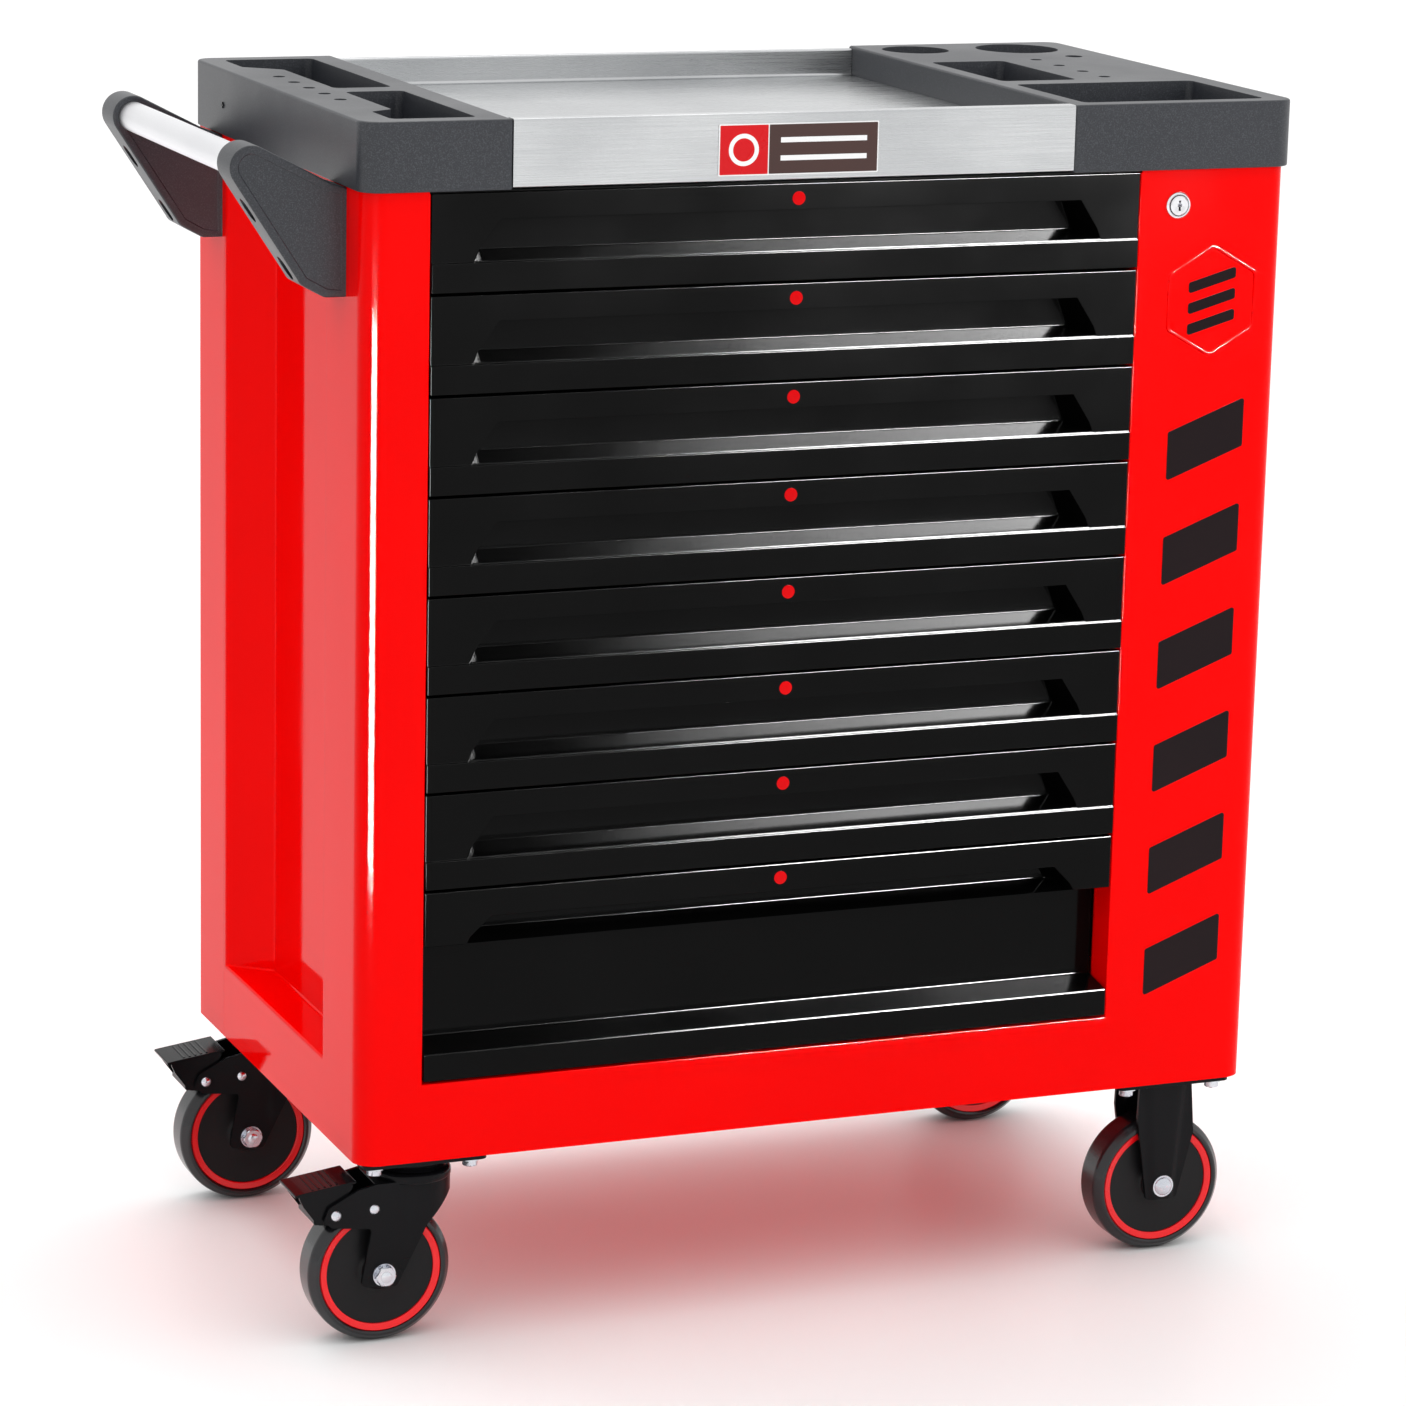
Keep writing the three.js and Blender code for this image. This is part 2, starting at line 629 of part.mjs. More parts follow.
/** The steel worktop: one folded sheet with a raised front lip, a sunk floor and a back upstand. */
function worktop() {
  const t = SHEET;
  const floorZ = RIM_Z - WORKTOP_SUNK;
  const lipY = TRAY_Y0 + WORKTOP_LIP;
  const backY = TRAY_Y1 - 8;
  const section = outline([
    [TRAY_Y0, TRAY_Z0 + 1.5],
    [TRAY_Y0, RIM_Z],
    [lipY, RIM_Z],
    [lipY, floorZ],
    [backY, floorZ],
    [backY, RIM_Z - 2],
    [TRAY_Y1, RIM_Z - 2],
    [TRAY_Y1, TRAY_Z0],
    [TRAY_Y1 - t, TRAY_Z0],
    [TRAY_Y1 - t, RIM_Z - 2 - t],
    [backY + t, RIM_Z - 2 - t],
    [backY + t, floorZ - t],
    [lipY - t, floorZ - t],
    [lipY - t, RIM_Z - t],
    [TRAY_Y0 + t, RIM_Z - t],
    [TRAY_Y0 + t, TRAY_Z0 + 1.5 + t],
    [TRAY_Y0 + WORKTOP_RETURN, TRAY_Z0 + 1.5 + t],
    [TRAY_Y0 + WORKTOP_RETURN, TRAY_Z0 + 1.5],
  ]);
  return prismX(section, TRAY_SEAM_LEFT + GAP / 2, TRAY_SEAM_RIGHT - GAP / 2);
}

/** A blank badge plate on the front lip. */
function badgePlate() {
  return block(-108, 26, TRAY_Y0 - 1, TRAY_Y0 - 0.2, TOP_Z + 6, TOP_Z + 46);
}

// ---------------------------------------------------------------- push handle

const GRIP_AXIS_Z = BASE_Z + GRIP_Z;
const FOOT_Z = RIM_Z - HANDLE_DROP;
const SLOPE_FOOT = { x: -428, z: FOOT_Z + 11 };
const SCREW_HEIGHTS = [66, 21]; // above the foot
const SCREW_SEAT_X = -406; // floor of the screw pockets

/** The side outline of a bracket: a foot on the cabinet and an arm up to the grip. */
function bracketOutline() {
  const footX = -HALF_W - GAP;
  const down = new THREE.Vector2(SLOPE_FOOT.x - HANDLE_X, SLOPE_FOOT.z - GRIP_AXIS_Z);
  const tangent = Math.atan2(down.y, down.x) - Math.acos(BRACKET_R / down.length());
  const s = new THREE.Shape();
  s.moveTo(footX, FOOT_Z);
  s.lineTo(footX, TOP_Z - 1);
  s.lineTo(-402, TOP_Z + 2.5);
  s.absarc(HANDLE_X, GRIP_AXIS_Z, BRACKET_R, 0.36 * Math.PI, tangent, false);
  s.lineTo(SLOPE_FOOT.x, SLOPE_FOOT.z);
  s.lineTo(-408, FOOT_Z);
  return s;
}

/** A bracket with a blind socket for the grip, open towards the other bracket, and two screw pockets. */
function bracket(y0, socketY0, socketY1) {
  const body = prismY(bracketOutline(), y0, y0 + BRACKET_T, 5);
  const socket = rodY(HANDLE_X, GRIP_AXIS_Z, GRIP_R + GAP, socketY0, socketY1);
  const pockets = SCREW_HEIGHTS.flatMap((dz) => [
    rodX(y0 + BRACKET_T / 2, FOOT_Z + dz, 6.5, HANDLE_X - 30, SCREW_SEAT_X, 12),
    rodX(y0 + BRACKET_T / 2, FOOT_Z + dz, 3.3, SCREW_SEAT_X - 1, -HALF_W, 8),
  ]);
  return cut(body, socket, ...pockets);
}

/** A fixing screw in its pocket. */
function bracketScrew() {
  const headX = SCREW_SEAT_X - GAP;
  return join(rodX(0, 0, 5.6, headX - 4, headX, 12), rodX(0, 0, 3, headX - 1, -HALF_W - GAP, 8));
}

// ---------------------------------------------------------------- casters

/** The wheel's body: a disc with a raised hub and a bore, about the Y axis. */
function wheelCore() {
  const rim = TYRE_W / 2 - 2;
  const web = TYRE_W / 2 - 5;
  const hub = TYRE_W / 2 + 1.5;
  return turnedY(
    [
      [AXLE_R + 0.2, -hub],
      [14, -hub],
      [19, -web],
      [RING_IN_R, -web],
      [TYRE_IN_R - GAP, -rim],
      [TYRE_IN_R - GAP, rim],
      [RING_IN_R, web],
      [19, web],
      [14, hub],
      [AXLE_R + 0.2, hub],
      [AXLE_R + 0.2, -hub],
    ],
    WHEEL_SIDES,
  );
}

/** The tyre, about the Y axis. */
function tyre() {
  const half = TYRE_W / 2;
  return turnedY(
    [
      [TYRE_IN_R, -half + 1],
      [TYRE_IN_R + 5, -half],
      [WHEEL_R, -half + 6],
      [WHEEL_R, half - 6],
      [TYRE_IN_R + 5, half],
      [TYRE_IN_R, half - 1],
      [TYRE_IN_R, -half + 1],
    ],
    WHEEL_SIDES,
  );
}

/** The axle bolt with its head and nut. */
function axle() {
  const leg = LEG_IN + LEG_T + GAP;
  return join(
    rodY(0, 0, AXLE_R, -leg - 9, leg + 9, 12),
    rodY(0, 0, 9, -leg - 6, -leg, 6),
    rodY(0, 0, 9, leg, leg + 7, 6),
  );
}

/** The plate with its four screw holes, under the cabinet. */
function casterPlate() {
  const { w, d, t, holeX, holeY, holeR } = PLATE;
  const top = BASE_Z - GAP;
  const plate = prismZ(roundedPlan(-w / 2, w / 2, -d / 2, d / 2, 6, 6, 6, 6), top - t, top, 4);
  const corners = [-1, 1].flatMap((i) => [-1, 1].map((j) => [i * holeX, j * holeY]));
  const holes = corners.map(([x, y]) => rodZ(x, y, holeR, top - 9, top + 1, 8));
  return cut(plate, ...holes);
}

/** The fixed half of a swivel caster: plate, upper race and king pin. */
function swivelPlate() {
  const under = BASE_Z - GAP - PLATE.t;
  return join(
    casterPlate(),
    rodZ(0, 0, 29, under - 9.5, under + 1),
    rodZ(0, 0, 6, 125, under, 12),
    rodZ(0, 0, 10, 124.5, 129.6, 6),
  );
}

/** One leg of a fork as an outline of (x, z), from the fork's top down to the axle at (axleX, WHEEL_R). */
function legOutline(axleX, topX0, topX1, topZ, bossR) {
  const s = new THREE.Shape();
  s.moveTo(topX0, topZ);
  s.lineTo(axleX - bossR, WHEEL_R);
  s.absarc(axleX, WHEEL_R, bossR, Math.PI, 2 * Math.PI);
  s.lineTo(topX1, topZ - 26);
  s.lineTo(topX1, topZ);
  return s;
}

/** The turning half of a swivel caster: lower race, two legs and the ears that carry the brake. */
function swivelFork() {
  const topZ = 134.5;
  const ear = outline([
    [-36, topZ],
    [-52, 131],
    [-76, 118],
    [-80, 108],
    [-74, 102],
    [-36, 96],
  ]);
  const legs = [-1, 1].map((side) => {
    const y0 = side < 0 ? -LEG_IN - LEG_T : LEG_IN;
    const leg = prismY(legOutline(-TRAIL, -38, 31, topZ, 15), y0, y0 + LEG_T);
    return leg.add(prismY(ear, y0, y0 + LEG_T));
  });
  const deck = block(-38, 31, -LEG_IN - LEG_T, LEG_IN + LEG_T, 131, topZ);
  const race = rodZ(0, 0, 32, 131, 141);
  const bore = rodZ(0, 0, 6.4, 120, 150, 12);
  const axleHole = rodY(-TRAIL, WHEEL_R, AXLE_R + 0.2, -40, 40, 12);
  const brakePin = rodY(BRAKE_X, BRAKE_Z, 3, -LEG_IN - 1, LEG_IN + 1, 10);
  return join(cut(join(...legs, deck, race), bore, axleHole), brakePin);
}

/** A brake pedal between the fork's ears, with its pivot bush and the bar that bears on the tyre. */
function brakePedal() {
  const cheek = outline([
    [BRAKE_X - 33, 130.5],
    [BRAKE_X + 18, 137.5],
    [BRAKE_X + 8, 122],
    [BRAKE_X + 7, 108],
    [BRAKE_X - 2, 103],
    [BRAKE_X - 16, 104],
    [BRAKE_X - 20, 112],
    [BRAKE_X - 33, 126],
  ]);
  const tread = outline([
    [BRAKE_X - 33, 128.5],
    [BRAKE_X - 33, 130.8],
    [BRAKE_X + 18, 138],
    [BRAKE_X + 18, 135.7],
  ]);
  const inner = LEG_IN - 0.6;
  const cheeks = [-1, 1].map((side) => {
    const y0 = side < 0 ? -inner : inner - 2;
    return prismY(cheek, y0, y0 + 2);
  });
  const shoe = block(BRAKE_X - 17, BRAKE_X - 12, -inner + 1, inner - 1, 104.5, 112);
  const plate = prismY(tread, -inner, inner);
  const pivot = rodY(BRAKE_X, BRAKE_Z, 3.3, -30, 30, 10);
  return cut(join(plate, shoe, ...cheeks), pivot);
}

/** A rigid caster's fork, with its own plate. */
function rigidFork() {
  const under = BASE_Z - GAP - PLATE.t;
  const legs = [-1, 1].map((side) => {
    const y0 = side < 0 ? -LEG_IN - LEG_T : LEG_IN;
    return prismY(legOutline(0, -22, 26, under + 1, 14), y0, y0 + LEG_T);
  });
  const saddle = block(-30, 30, -LEG_IN - LEG_T, LEG_IN + LEG_T, under - 3, under + 1);
  const axleHole = rodY(0, WHEEL_R, AXLE_R + 0.2, -40, 40, 12);
  return cut(join(casterPlate(), saddle, ...legs), axleHole);
}

// ---------------------------------------------------------------- assembly

const lockHole = rodY(LOCK_X, TOP_Z - LOCK_BELOW_TOP, SLEEVE_R + GAP, -1, 5);
place("side_panel_left", sidePanel(-1, OPEN_X0), RED_PAINT);
place("side_panel_right", cut(sidePanel(1, OPEN_X1), lockHole), RED_PAINT);
place("back_panel", backPanel(), RED_PAINT);
place("base_pan", basePan(), RED_PAINT);
place("front_rail", frontRail(), RED_PAINT);
place("top_deck", topDeck(), BLACK_PAINT);
place("slide_rack_left", slideRack(-1), ZINC);
place("slide_rack_right", slideRack(1), ZINC);

const shallowFrontBody = shallowFront();
const shallowBoxBody = drawerBox(SHALLOW_BOX_TOP);
for (let i = 0; i <= SHALLOW_COUNT; i++) {
  const deep = i === SHALLOW_COUNT;
  const at = [0, 0, drawerZ(i)];
  place(`drawer_front_${i + 1}`, deep ? deepFront() : shallowFrontBody, BLACK_PAINT, at);
  place(`drawer_box_${i + 1}`, deep ? drawerBox(DEEP_BOX_TOP) : shallowBoxBody, BLACK_PAINT, at);
}

place("lock_housing", lockHousing(), CHROME);
place("lock_plug", lockPlug(), CHROME);
place("lock_bar", lockBar(), ZINC);

place("tray_left", trayLeft(), GREY_PLASTIC);
place("tray_right", trayRight(), GREY_PLASTIC);
place("worktop", worktop(), STEEL);
place("badge_plate", badgePlate(), RED_PAINT);

const frontSocketY = BRACKET_FRONT_Y + 12;
const rearSocketY = BRACKET_REAR_Y + BRACKET_T - 12;
place("handle_bracket_front", bracket(BRACKET_FRONT_Y, frontSocketY, BRACKET_FRONT_Y + 50), GREY_PLASTIC);
place("handle_bracket_rear", bracket(BRACKET_REAR_Y, BRACKET_REAR_Y - 10, rearSocketY), GREY_PLASTIC);
const gripTube = rodY(HANDLE_X, GRIP_AXIS_Z, GRIP_R, frontSocketY + GAP, rearSocketY - GAP);
const gripBore = rodY(HANDLE_X, GRIP_AXIS_Z, GRIP_R - 1.5, 0, BODY_D);
place("handle_grip", cut(gripTube, gripBore), ALUMINIUM);
[BRACKET_FRONT_Y, BRACKET_REAR_Y].forEach((y, row) => {
  SCREW_HEIGHTS.forEach((dz, i) => {
    const at = [0, y + BRACKET_T / 2, FOOT_Z + dz];
    place(`handle_screw_${2 * row + i + 1}`, bracketScrew(), ZINC, at);
  });
});

const coreBody = wheelCore();
const tyreBody = tyre();
const axleBody = axle();
for (const [row, y] of [["front", CASTER_INSET_Y], ["rear", BODY_D - CASTER_INSET_Y]]) {
  const swivelAt = [SWIVEL_X, y, 0];
  place(`caster_plate_${row}_left`, swivelPlate(), BLACK_PAINT, swivelAt);
  place(`caster_fork_${row}_left`, swivelFork(), BLACK_PAINT, swivelAt);
  place(`brake_pedal_${row}_left`, brakePedal(), BLACK_PAINT, swivelAt);
  place(`caster_fork_${row}_right`, rigidFork(), BLACK_PAINT, [RIGID_X, y, 0]);
  for (const [side, x] of [["left", SWIVEL_X - TRAIL], ["right", RIGID_X]]) {
    const at = [x, y, WHEEL_R];
    place(`wheel_core_${row}_${side}`, coreBody, BLACK_PLASTIC, at);
    place(`tyre_${row}_${side}`, tyreBody, BLACK_RUBBER, at);
    place(`axle_${row}_${side}`, axleBody, ZINC, at);
  }
}

const box = new THREE.Box3().setFromObject(chest, true);
chest.position.set(-(box.min.x + box.max.x) / 2, -(box.min.y + box.max.y) / 2, -box.min.z);

export default chest;
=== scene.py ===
"""The looks of a rolling tool chest with eight drawers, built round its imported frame.

Every shape is worked out in millimetres in the cabinet's own frame, with x = 0 on the middle of the
cabinet, y = 0 on its front face and z = 0 on the ground. Finishing a piece puts it in metres in the
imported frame's place.
"""

import logging
import math
from dataclasses import dataclass, field
from enum import Enum
from functools import cache
from typing import Callable, ClassVar, Iterable, Sequence

import bmesh
import bpy
from bmesh.types import BMesh, BMFace, BMVert
from bpy.types import Material, NodeSocket, NodeTree, Object, ShaderNode, ShaderNodeTree
from mathutils import Matrix, Vector


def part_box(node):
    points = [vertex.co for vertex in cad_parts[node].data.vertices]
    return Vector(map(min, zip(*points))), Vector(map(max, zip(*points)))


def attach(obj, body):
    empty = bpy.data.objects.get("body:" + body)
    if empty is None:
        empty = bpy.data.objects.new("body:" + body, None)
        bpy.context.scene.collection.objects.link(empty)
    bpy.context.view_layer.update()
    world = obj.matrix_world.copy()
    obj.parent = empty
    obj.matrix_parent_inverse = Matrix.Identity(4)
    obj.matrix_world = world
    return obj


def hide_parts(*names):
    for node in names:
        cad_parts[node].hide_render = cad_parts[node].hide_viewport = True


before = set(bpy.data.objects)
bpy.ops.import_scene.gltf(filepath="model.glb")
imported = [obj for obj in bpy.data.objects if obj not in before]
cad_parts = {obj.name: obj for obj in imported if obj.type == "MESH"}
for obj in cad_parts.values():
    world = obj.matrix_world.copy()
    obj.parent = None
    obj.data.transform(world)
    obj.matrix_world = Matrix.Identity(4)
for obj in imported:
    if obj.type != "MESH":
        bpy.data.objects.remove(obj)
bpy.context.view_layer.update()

logging.basicConfig(level=logging.INFO, format="%(name)s: %(message)s")
LOG = logging.getLogger("tool_chest")

# A millimetre in metres.
MM = 0.001
# How near two points count as one, and how near a face counts as lying on a plane, in millimetres.
SAME_SPOT = 1e-4
ON_FACE = 0.01

Point2 = tuple[float, float]
Corner = tuple[float, float, float]
Colour = tuple[float, float, float]


class Axis(Enum):
    """The axis that an outline is run along, or that a profile is turned about."""

    X = 0
    Y = 1
    Z = 2

    def vector(self, length: float = 1.0) -> Vector:
        """A vector of the given length along this axis."""
        return Vector([length if i == self.value else 0.0 for i in range(3)])

    def point(self, across: Point2, along: float) -> Vector:
        """A point from its two coordinates across this axis, in X, Y, Z order, and its place along it."""
        values = list(across)
        values.insert(self.value, along)
        return Vector(values)


class Side(Enum):
    """The left and right of the chest, seen from the drawers."""

    LEFT = -1
    RIGHT = 1

    @property
    def label(self) -> str:
        """The word that node names use."""
        return self.name.lower()


class Row(Enum):
    """The front and rear pair of casters."""

    FRONT = "front"
    REAR = "rear"


class Reach(Enum):
    """What a light reaches: everything, the chest alone, or only the gloss of some of its paint."""

    EVERYTHING = "everything"
    CHEST = "chest"
    PAINT_GLOSS = "paint_gloss"
    DEEP_DRAWER = "deep_drawer_gloss"


# ---------------------------------------------------------------- places


@dataclass(frozen=True)
class Layout:
    """Where the cabinet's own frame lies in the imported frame, in metres."""

    origin: Vector

    @classmethod
    def from_frame(cls) -> "Layout":
        """The layout whose zero is the middle of the cabinet, its front face and the ground."""
        low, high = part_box("back_panel")
        return cls(Vector(((low.x + high.x) / 2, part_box("front_rail")[0].y, 0.0)))

    def box(self, node: str) -> tuple[Vector, Vector]:
        """A node's lowest and highest corner, in millimetres in the cabinet's frame."""
        low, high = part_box(node)
        return (low - self.origin) / MM, (high - self.origin) / MM

    def centre(self, node: str) -> Vector:
        """The middle of a node's box, in millimetres in the cabinet's frame."""
        low, high = self.box(node)
        return (low + high) / 2

    def settle(self, bm: BMesh) -> None:
        """Turns a finished shape from the cabinet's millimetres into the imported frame's metres."""
        bmesh.ops.scale(bm, verts=bm.verts, vec=(MM, MM, MM))
        bmesh.ops.translate(bm, verts=bm.verts, vec=self.origin)


LAYOUT = Layout.from_frame()


# ---------------------------------------------------------------- outlines


def rounded(corners: Sequence[Corner], steps: int = 6, closed: bool = True) -> list[Point2]:
    """Rounds the corners of an outline.

    Args:
        corners: The corners as (a, b, radius), in order.
        steps: How many short lines make each rounded corner.
        closed: Whether the last corner joins the first.

    Returns:
        The points of the outline.
    """
    points: list[Point2] = []
    count = len(corners)
    for i, (a, b, radius) in enumerate(corners):
        here = Vector((a, b))
        if radius <= 0 or (not closed and i in (0, count - 1)):
            points.append((a, b))
            continue
        before = Vector(corners[i - 1][:2]) - here
        after = Vector(corners[(i + 1) % count][:2]) - here
        before.normalize()
        after.normalize()
        half = before.angle(after) / 2
        start = here + before * (radius / math.tan(half))
        end = here + after * (radius / math.tan(half))
        centre = here + (before + after).normalized() * (radius / math.sin(half))
        first = (start - centre).normalized()
        last = (end - centre).normalized()
        for k in range(steps + 1):
            spot = centre + first.slerp(last, k / steps) * radius
            points.append((spot.x, spot.y))
    return points


def arc(centre: Point2, radius: float, start: float, end: float, steps: int) -> list[Point2]:
    """Points along an arc, between two angles in degrees."""
    turns = [math.radians(start + (end - start) * k / steps) for k in range(steps + 1)]
    return [(centre[0] + radius * math.cos(t), centre[1] + radius * math.sin(t)) for t in turns]


def rectangle(a0: float, a1: float, b0: float, b1: float, *radii: float) -> list[Corner]:
    """A rectangle's corners, anticlockwise from its lowest one, with one radius for all or one for each."""
    each = radii * 4 if len(radii) == 1 else radii or (0.0,) * 4
    return [(a0, b0, each[0]), (a1, b0, each[1]), (a1, b1, each[2]), (a0, b1, each[3])]


def mirrored(points: Sequence[Point2]) -> list[Point2]:
    """The points again in reverse order, with the sign of their second coordinate changed."""
    return [(a, -b) for a, b in reversed(points)]


def within(value: float, low: float, high: float, slack: float) -> bool:
    """Whether a value lies between two bounds that are moved apart by the slack."""
    return low - slack < value < high + slack


# ---------------------------------------------------------------- solids


def prism(outline: Sequence[Point2], axis: Axis, start: float, end: float) -> BMesh:
    """A closed outline run along an axis, as a solid."""
    bm = bmesh.new()
    face = bm.faces.new([bm.verts.new(axis.point(p, start)) for p in outline])
    made = bmesh.ops.extrude_face_region(bm, geom=[face])["geom"]
    raised = [v for v in made if isinstance(v, BMVert)]
    bmesh.ops.translate(bm, verts=raised, vec=axis.vector(end - start))
    bmesh.ops.recalc_face_normals(bm, faces=bm.faces)
    return bm


def folded(path: Sequence[Point2], axis: Axis, start: float, end: float) -> BMesh:
    """An open path run along an axis, as a sheet without thickness."""
    bm = bmesh.new()
    verts = [bm.verts.new(axis.point(p, start)) for p in path]
    edges = [bm.edges.new(pair) for pair in zip(verts, verts[1:])]
    made = bmesh.ops.extrude_edge_only(bm, edges=edges)["geom"]
    raised = [v for v in made if isinstance(v, BMVert)]
    bmesh.ops.translate(bm, verts=raised, vec=axis.vector(end - start))
    return bm


def turned(
    profile: Sequence[Point2], axis: Axis, centre: Vector, steps: int = 48, ring: bool = False
) -> BMesh:
    """Turns a profile of (radius, height) points about an axis.

    Args:
        profile: The points, where the height is measured along the axis from the centre.
        axis: The axis to turn about.
        centre: A point on the axis.
        steps: How many facets the full turn has.
        ring: Whether the profile closes on itself, as a ring's does, rather than on the axis.

    Returns:
        The turned solid.
    """
    bm = bmesh.new()
    out = Axis.Y if axis is Axis.X else Axis.X
    verts = [bm.verts.new(centre + out.vector(r) + axis.vector(h)) for r, h in profile]
    pairs = list(zip(verts, verts[1:])) + ([(verts[-1], verts[0])] if ring else [])
    edges = [bm.edges.new(pair) for pair in pairs]
    bmesh.ops.spin(
        bm,
        geom=verts + edges,
        cent=centre,
        axis=axis.vector(),
        angle=math.tau,
        steps=steps,
        use_merge=True,
    )
    bmesh.ops.remove_doubles(bm, verts=bm.verts, dist=SAME_SPOT)
    bmesh.ops.recalc_face_normals(bm, faces=bm.faces)
    return bm


def rod(axis: Axis, centre: Vector, radius: float, start: float, end: float, steps: int = 32) -> BMesh:
    """A plain round rod between two heights along an axis, measured from the centre."""
    return turned([(0, start), (radius, start), (radius, end), (0, end)], axis, centre, steps)


def block(low: Sequence[float], high: Sequence[float]) -> BMesh:
    """A block between two corners."""
    bm = bmesh.new()
    bmesh.ops.create_cube(bm, size=1)
    bmesh.ops.scale(bm, verts=bm.verts, vec=Vector(high) - Vector(low))
    bmesh.ops.translate(bm, verts=bm.verts, vec=(Vector(low) + Vector(high)) / 2)
    return bm


def hull(points: Iterable[Sequence[float]]) -> BMesh:
    """The convex solid round some points."""
    bm = bmesh.new()
    for p in points:
        bm.verts.new(p)
    bmesh.ops.convex_hull(bm, input=bm.verts)
    bmesh.ops.dissolve_limit(bm, angle_limit=math.radians(0.5), verts=bm.verts, edges=bm.edges)
    bmesh.ops.recalc_face_normals(bm, faces=bm.faces)
    return bm


def merged(*shapes: BMesh) -> BMesh:
    """Several shapes in one mesh, each still whole. The given shapes are used up."""
    whole = bmesh.new()
    carrier = bpy.data.meshes.new("carrier")
    for shape in shapes:
        shape.to_mesh(carrier)
        whole.from_mesh(carrier)
        shape.free()
    bpy.data.meshes.remove(carrier)
    return whole


def cut(body: BMesh, tools: Iterable[BMesh]) -> BMesh:
    """Cuts solids out of a solid. The given shapes are used up.

    Args:
        body: The solid to cut.
        tools: The solids to cut out, one after the other.

    Returns:
        The resulting solid.
    """
    helpers = []
    for shape in [body, *tools]:
        mesh = bpy.data.meshes.new("helper")
        shape.to_mesh(mesh)
        shape.free()
        helper = bpy.data.objects.new("helper", mesh)
        bpy.context.scene.collection.objects.link(helper)
        helpers.append(helper)
    for tool in helpers[1:]:
        step = helpers[0].modifiers.new("step", "BOOLEAN")
        step.operation = "DIFFERENCE"
        step.solver = "EXACT"
        step.object = tool
    result = bmesh.new()
    result.from_object(helpers[0], bpy.context.evaluated_depsgraph_get())
    for helper in helpers:
        mesh = helper.data
        bpy.data.objects.remove(helper)
        bpy.data.meshes.remove(mesh)
    bmesh.ops.remove_doubles(result, verts=result.verts, dist=SAME_SPOT * 10)
    return result


def intersected(body: BMesh, bound: BMesh) -> BMesh:
    """What two solids have in common. The given shapes are used up."""
    rest = cut(bound.copy(), [body])
    return cut(bound, [rest])


def split(bm: BMesh, spot: Sequence[float], axis: Axis, faces: Sequence[BMFace] = ()) -> None:
    """Splits faces of a shape along a plane that stands across an axis.

    Args:
        bm: The shape, changed in place.
        spot: A point on the plane.
        axis: The axis.
        faces: The faces to split. Without any, all of them are split.
    """
    if faces:
        geom = list({v for f in faces for v in f.verts} | {e for f in faces for e in f.edges}) + list(faces)
    else:
        geom = bm.verts[:] + bm.edges[:] + bm.faces[:]
    bmesh.ops.bisect_plane(bm, geom=geom, plane_co=spot, plane_no=axis.vector(), dist=SAME_SPOT)


def soften(
    bm: BMesh,
    width: float,
    segments: int = 3,
    where: Callable[[Vector], bool] = lambda middle: True,
    sharper_than: float = 30.0,
) -> None:
    """Rounds the sharp edges of a shape.

    Args:
        bm: The shape, changed in place.
        width: How far the rounding reaches from the edge.
        segments: How many facets make the rounding.
        where: Tells from an edge's middle whether it is rounded.
        sharper_than: The smallest angle between the faces, in degrees, that counts as an edge.
    """
    limit = math.radians(sharper_than)
    edges = [
        e
        for e in bm.edges
        if len(e.link_faces) == 2
        and e.calc_face_angle(0.0) > limit
        and where((e.verts[0].co + e.verts[1].co) / 2)
    ]
    bmesh.ops.bevel(
        bm,
        geom=edges,
        offset=width,
        offset_type="OFFSET",
        segments=segments,
        profile=0.5,
        affect="EDGES",
        clamp_overlap=True,
        material=-1,
    )


def thicken(bm: BMesh, thickness: float, inside: Vector) -> None:
    """Gives a sheet its thickness, towards the side that a point lies on.

    Args:
        bm: The sheet, changed in place.
        thickness: The sheet's thickness.
        inside: A point on the side that the thickness grows to.
    """
    bmesh.ops.recalc_face_normals(bm, faces=bm.faces)
    largest = max(bm.faces, key=lambda f: f.calc_area())
    if largest.normal.dot(inside - largest.calc_center_median()) > 0:
        bmesh.ops.reverse_faces(bm, faces=bm.faces)
    bm.normal_update()
    bmesh.ops.solidify(bm, geom=bm.faces, thickness=thickness)
    bmesh.ops.recalc_face_normals(bm, faces=bm.faces)


def chamfered_hex(
    axis: Axis, centre: Vector, across: float, start: float, end: float, ease: float = 1.02
) -> BMesh:
    """A hexagon head or nut with its corners turned off.

    Args:
        axis: The axis that it stands along.
        centre: A point on the axis.
        across: Its width between two flats.
        start: Where it begins along the axis, measured from the centre.
        end: Where it ends.
        ease: How much wider than the flats its round end faces are.

    Returns:
        The solid.
    """
    corner = across / math.sqrt(3)
    body = prism(arc((0, 0), corner, 0, 300, 5), axis, start, end)
    bmesh.ops.translate(body, verts=body.verts, vec=centre)
    low, high = sorted((start, end))
    edge = across / 2 * ease
    cone = corner - edge
    profile = [(0, low), (edge, low), (corner, low + cone), (corner, high - cone), (edge, high), (0, high)]
    return intersected(body, turned(profile, axis, centre, 36))


# ---------------------------------------------------------------- shared shader effects


def ramp(tree: NodeTree, source: NodeSocket, low: float, high: float) -> ShaderNode:
    """A node that spreads a value between two levels over the range from 0 to 1."""
    node = tree.nodes.new("ShaderNodeMapRange")
    node.inputs["From Min"].default_value = low
    node.inputs["From Max"].default_value = high
    tree.links.new(source, node.inputs["Value"])
    return node


def mixture(tree: NodeTree, mask: NodeSocket, first: NodeSocket) -> ShaderNode:
    """A node that mixes a second colour, its input B, over a first one as a mask says."""
    node = tree.nodes.new("ShaderNodeMix")
    node.data_type = "RGBA"
    tree.links.new(mask, node.inputs["Factor"])
    tree.links.new(first, node.inputs["A"])
    return node


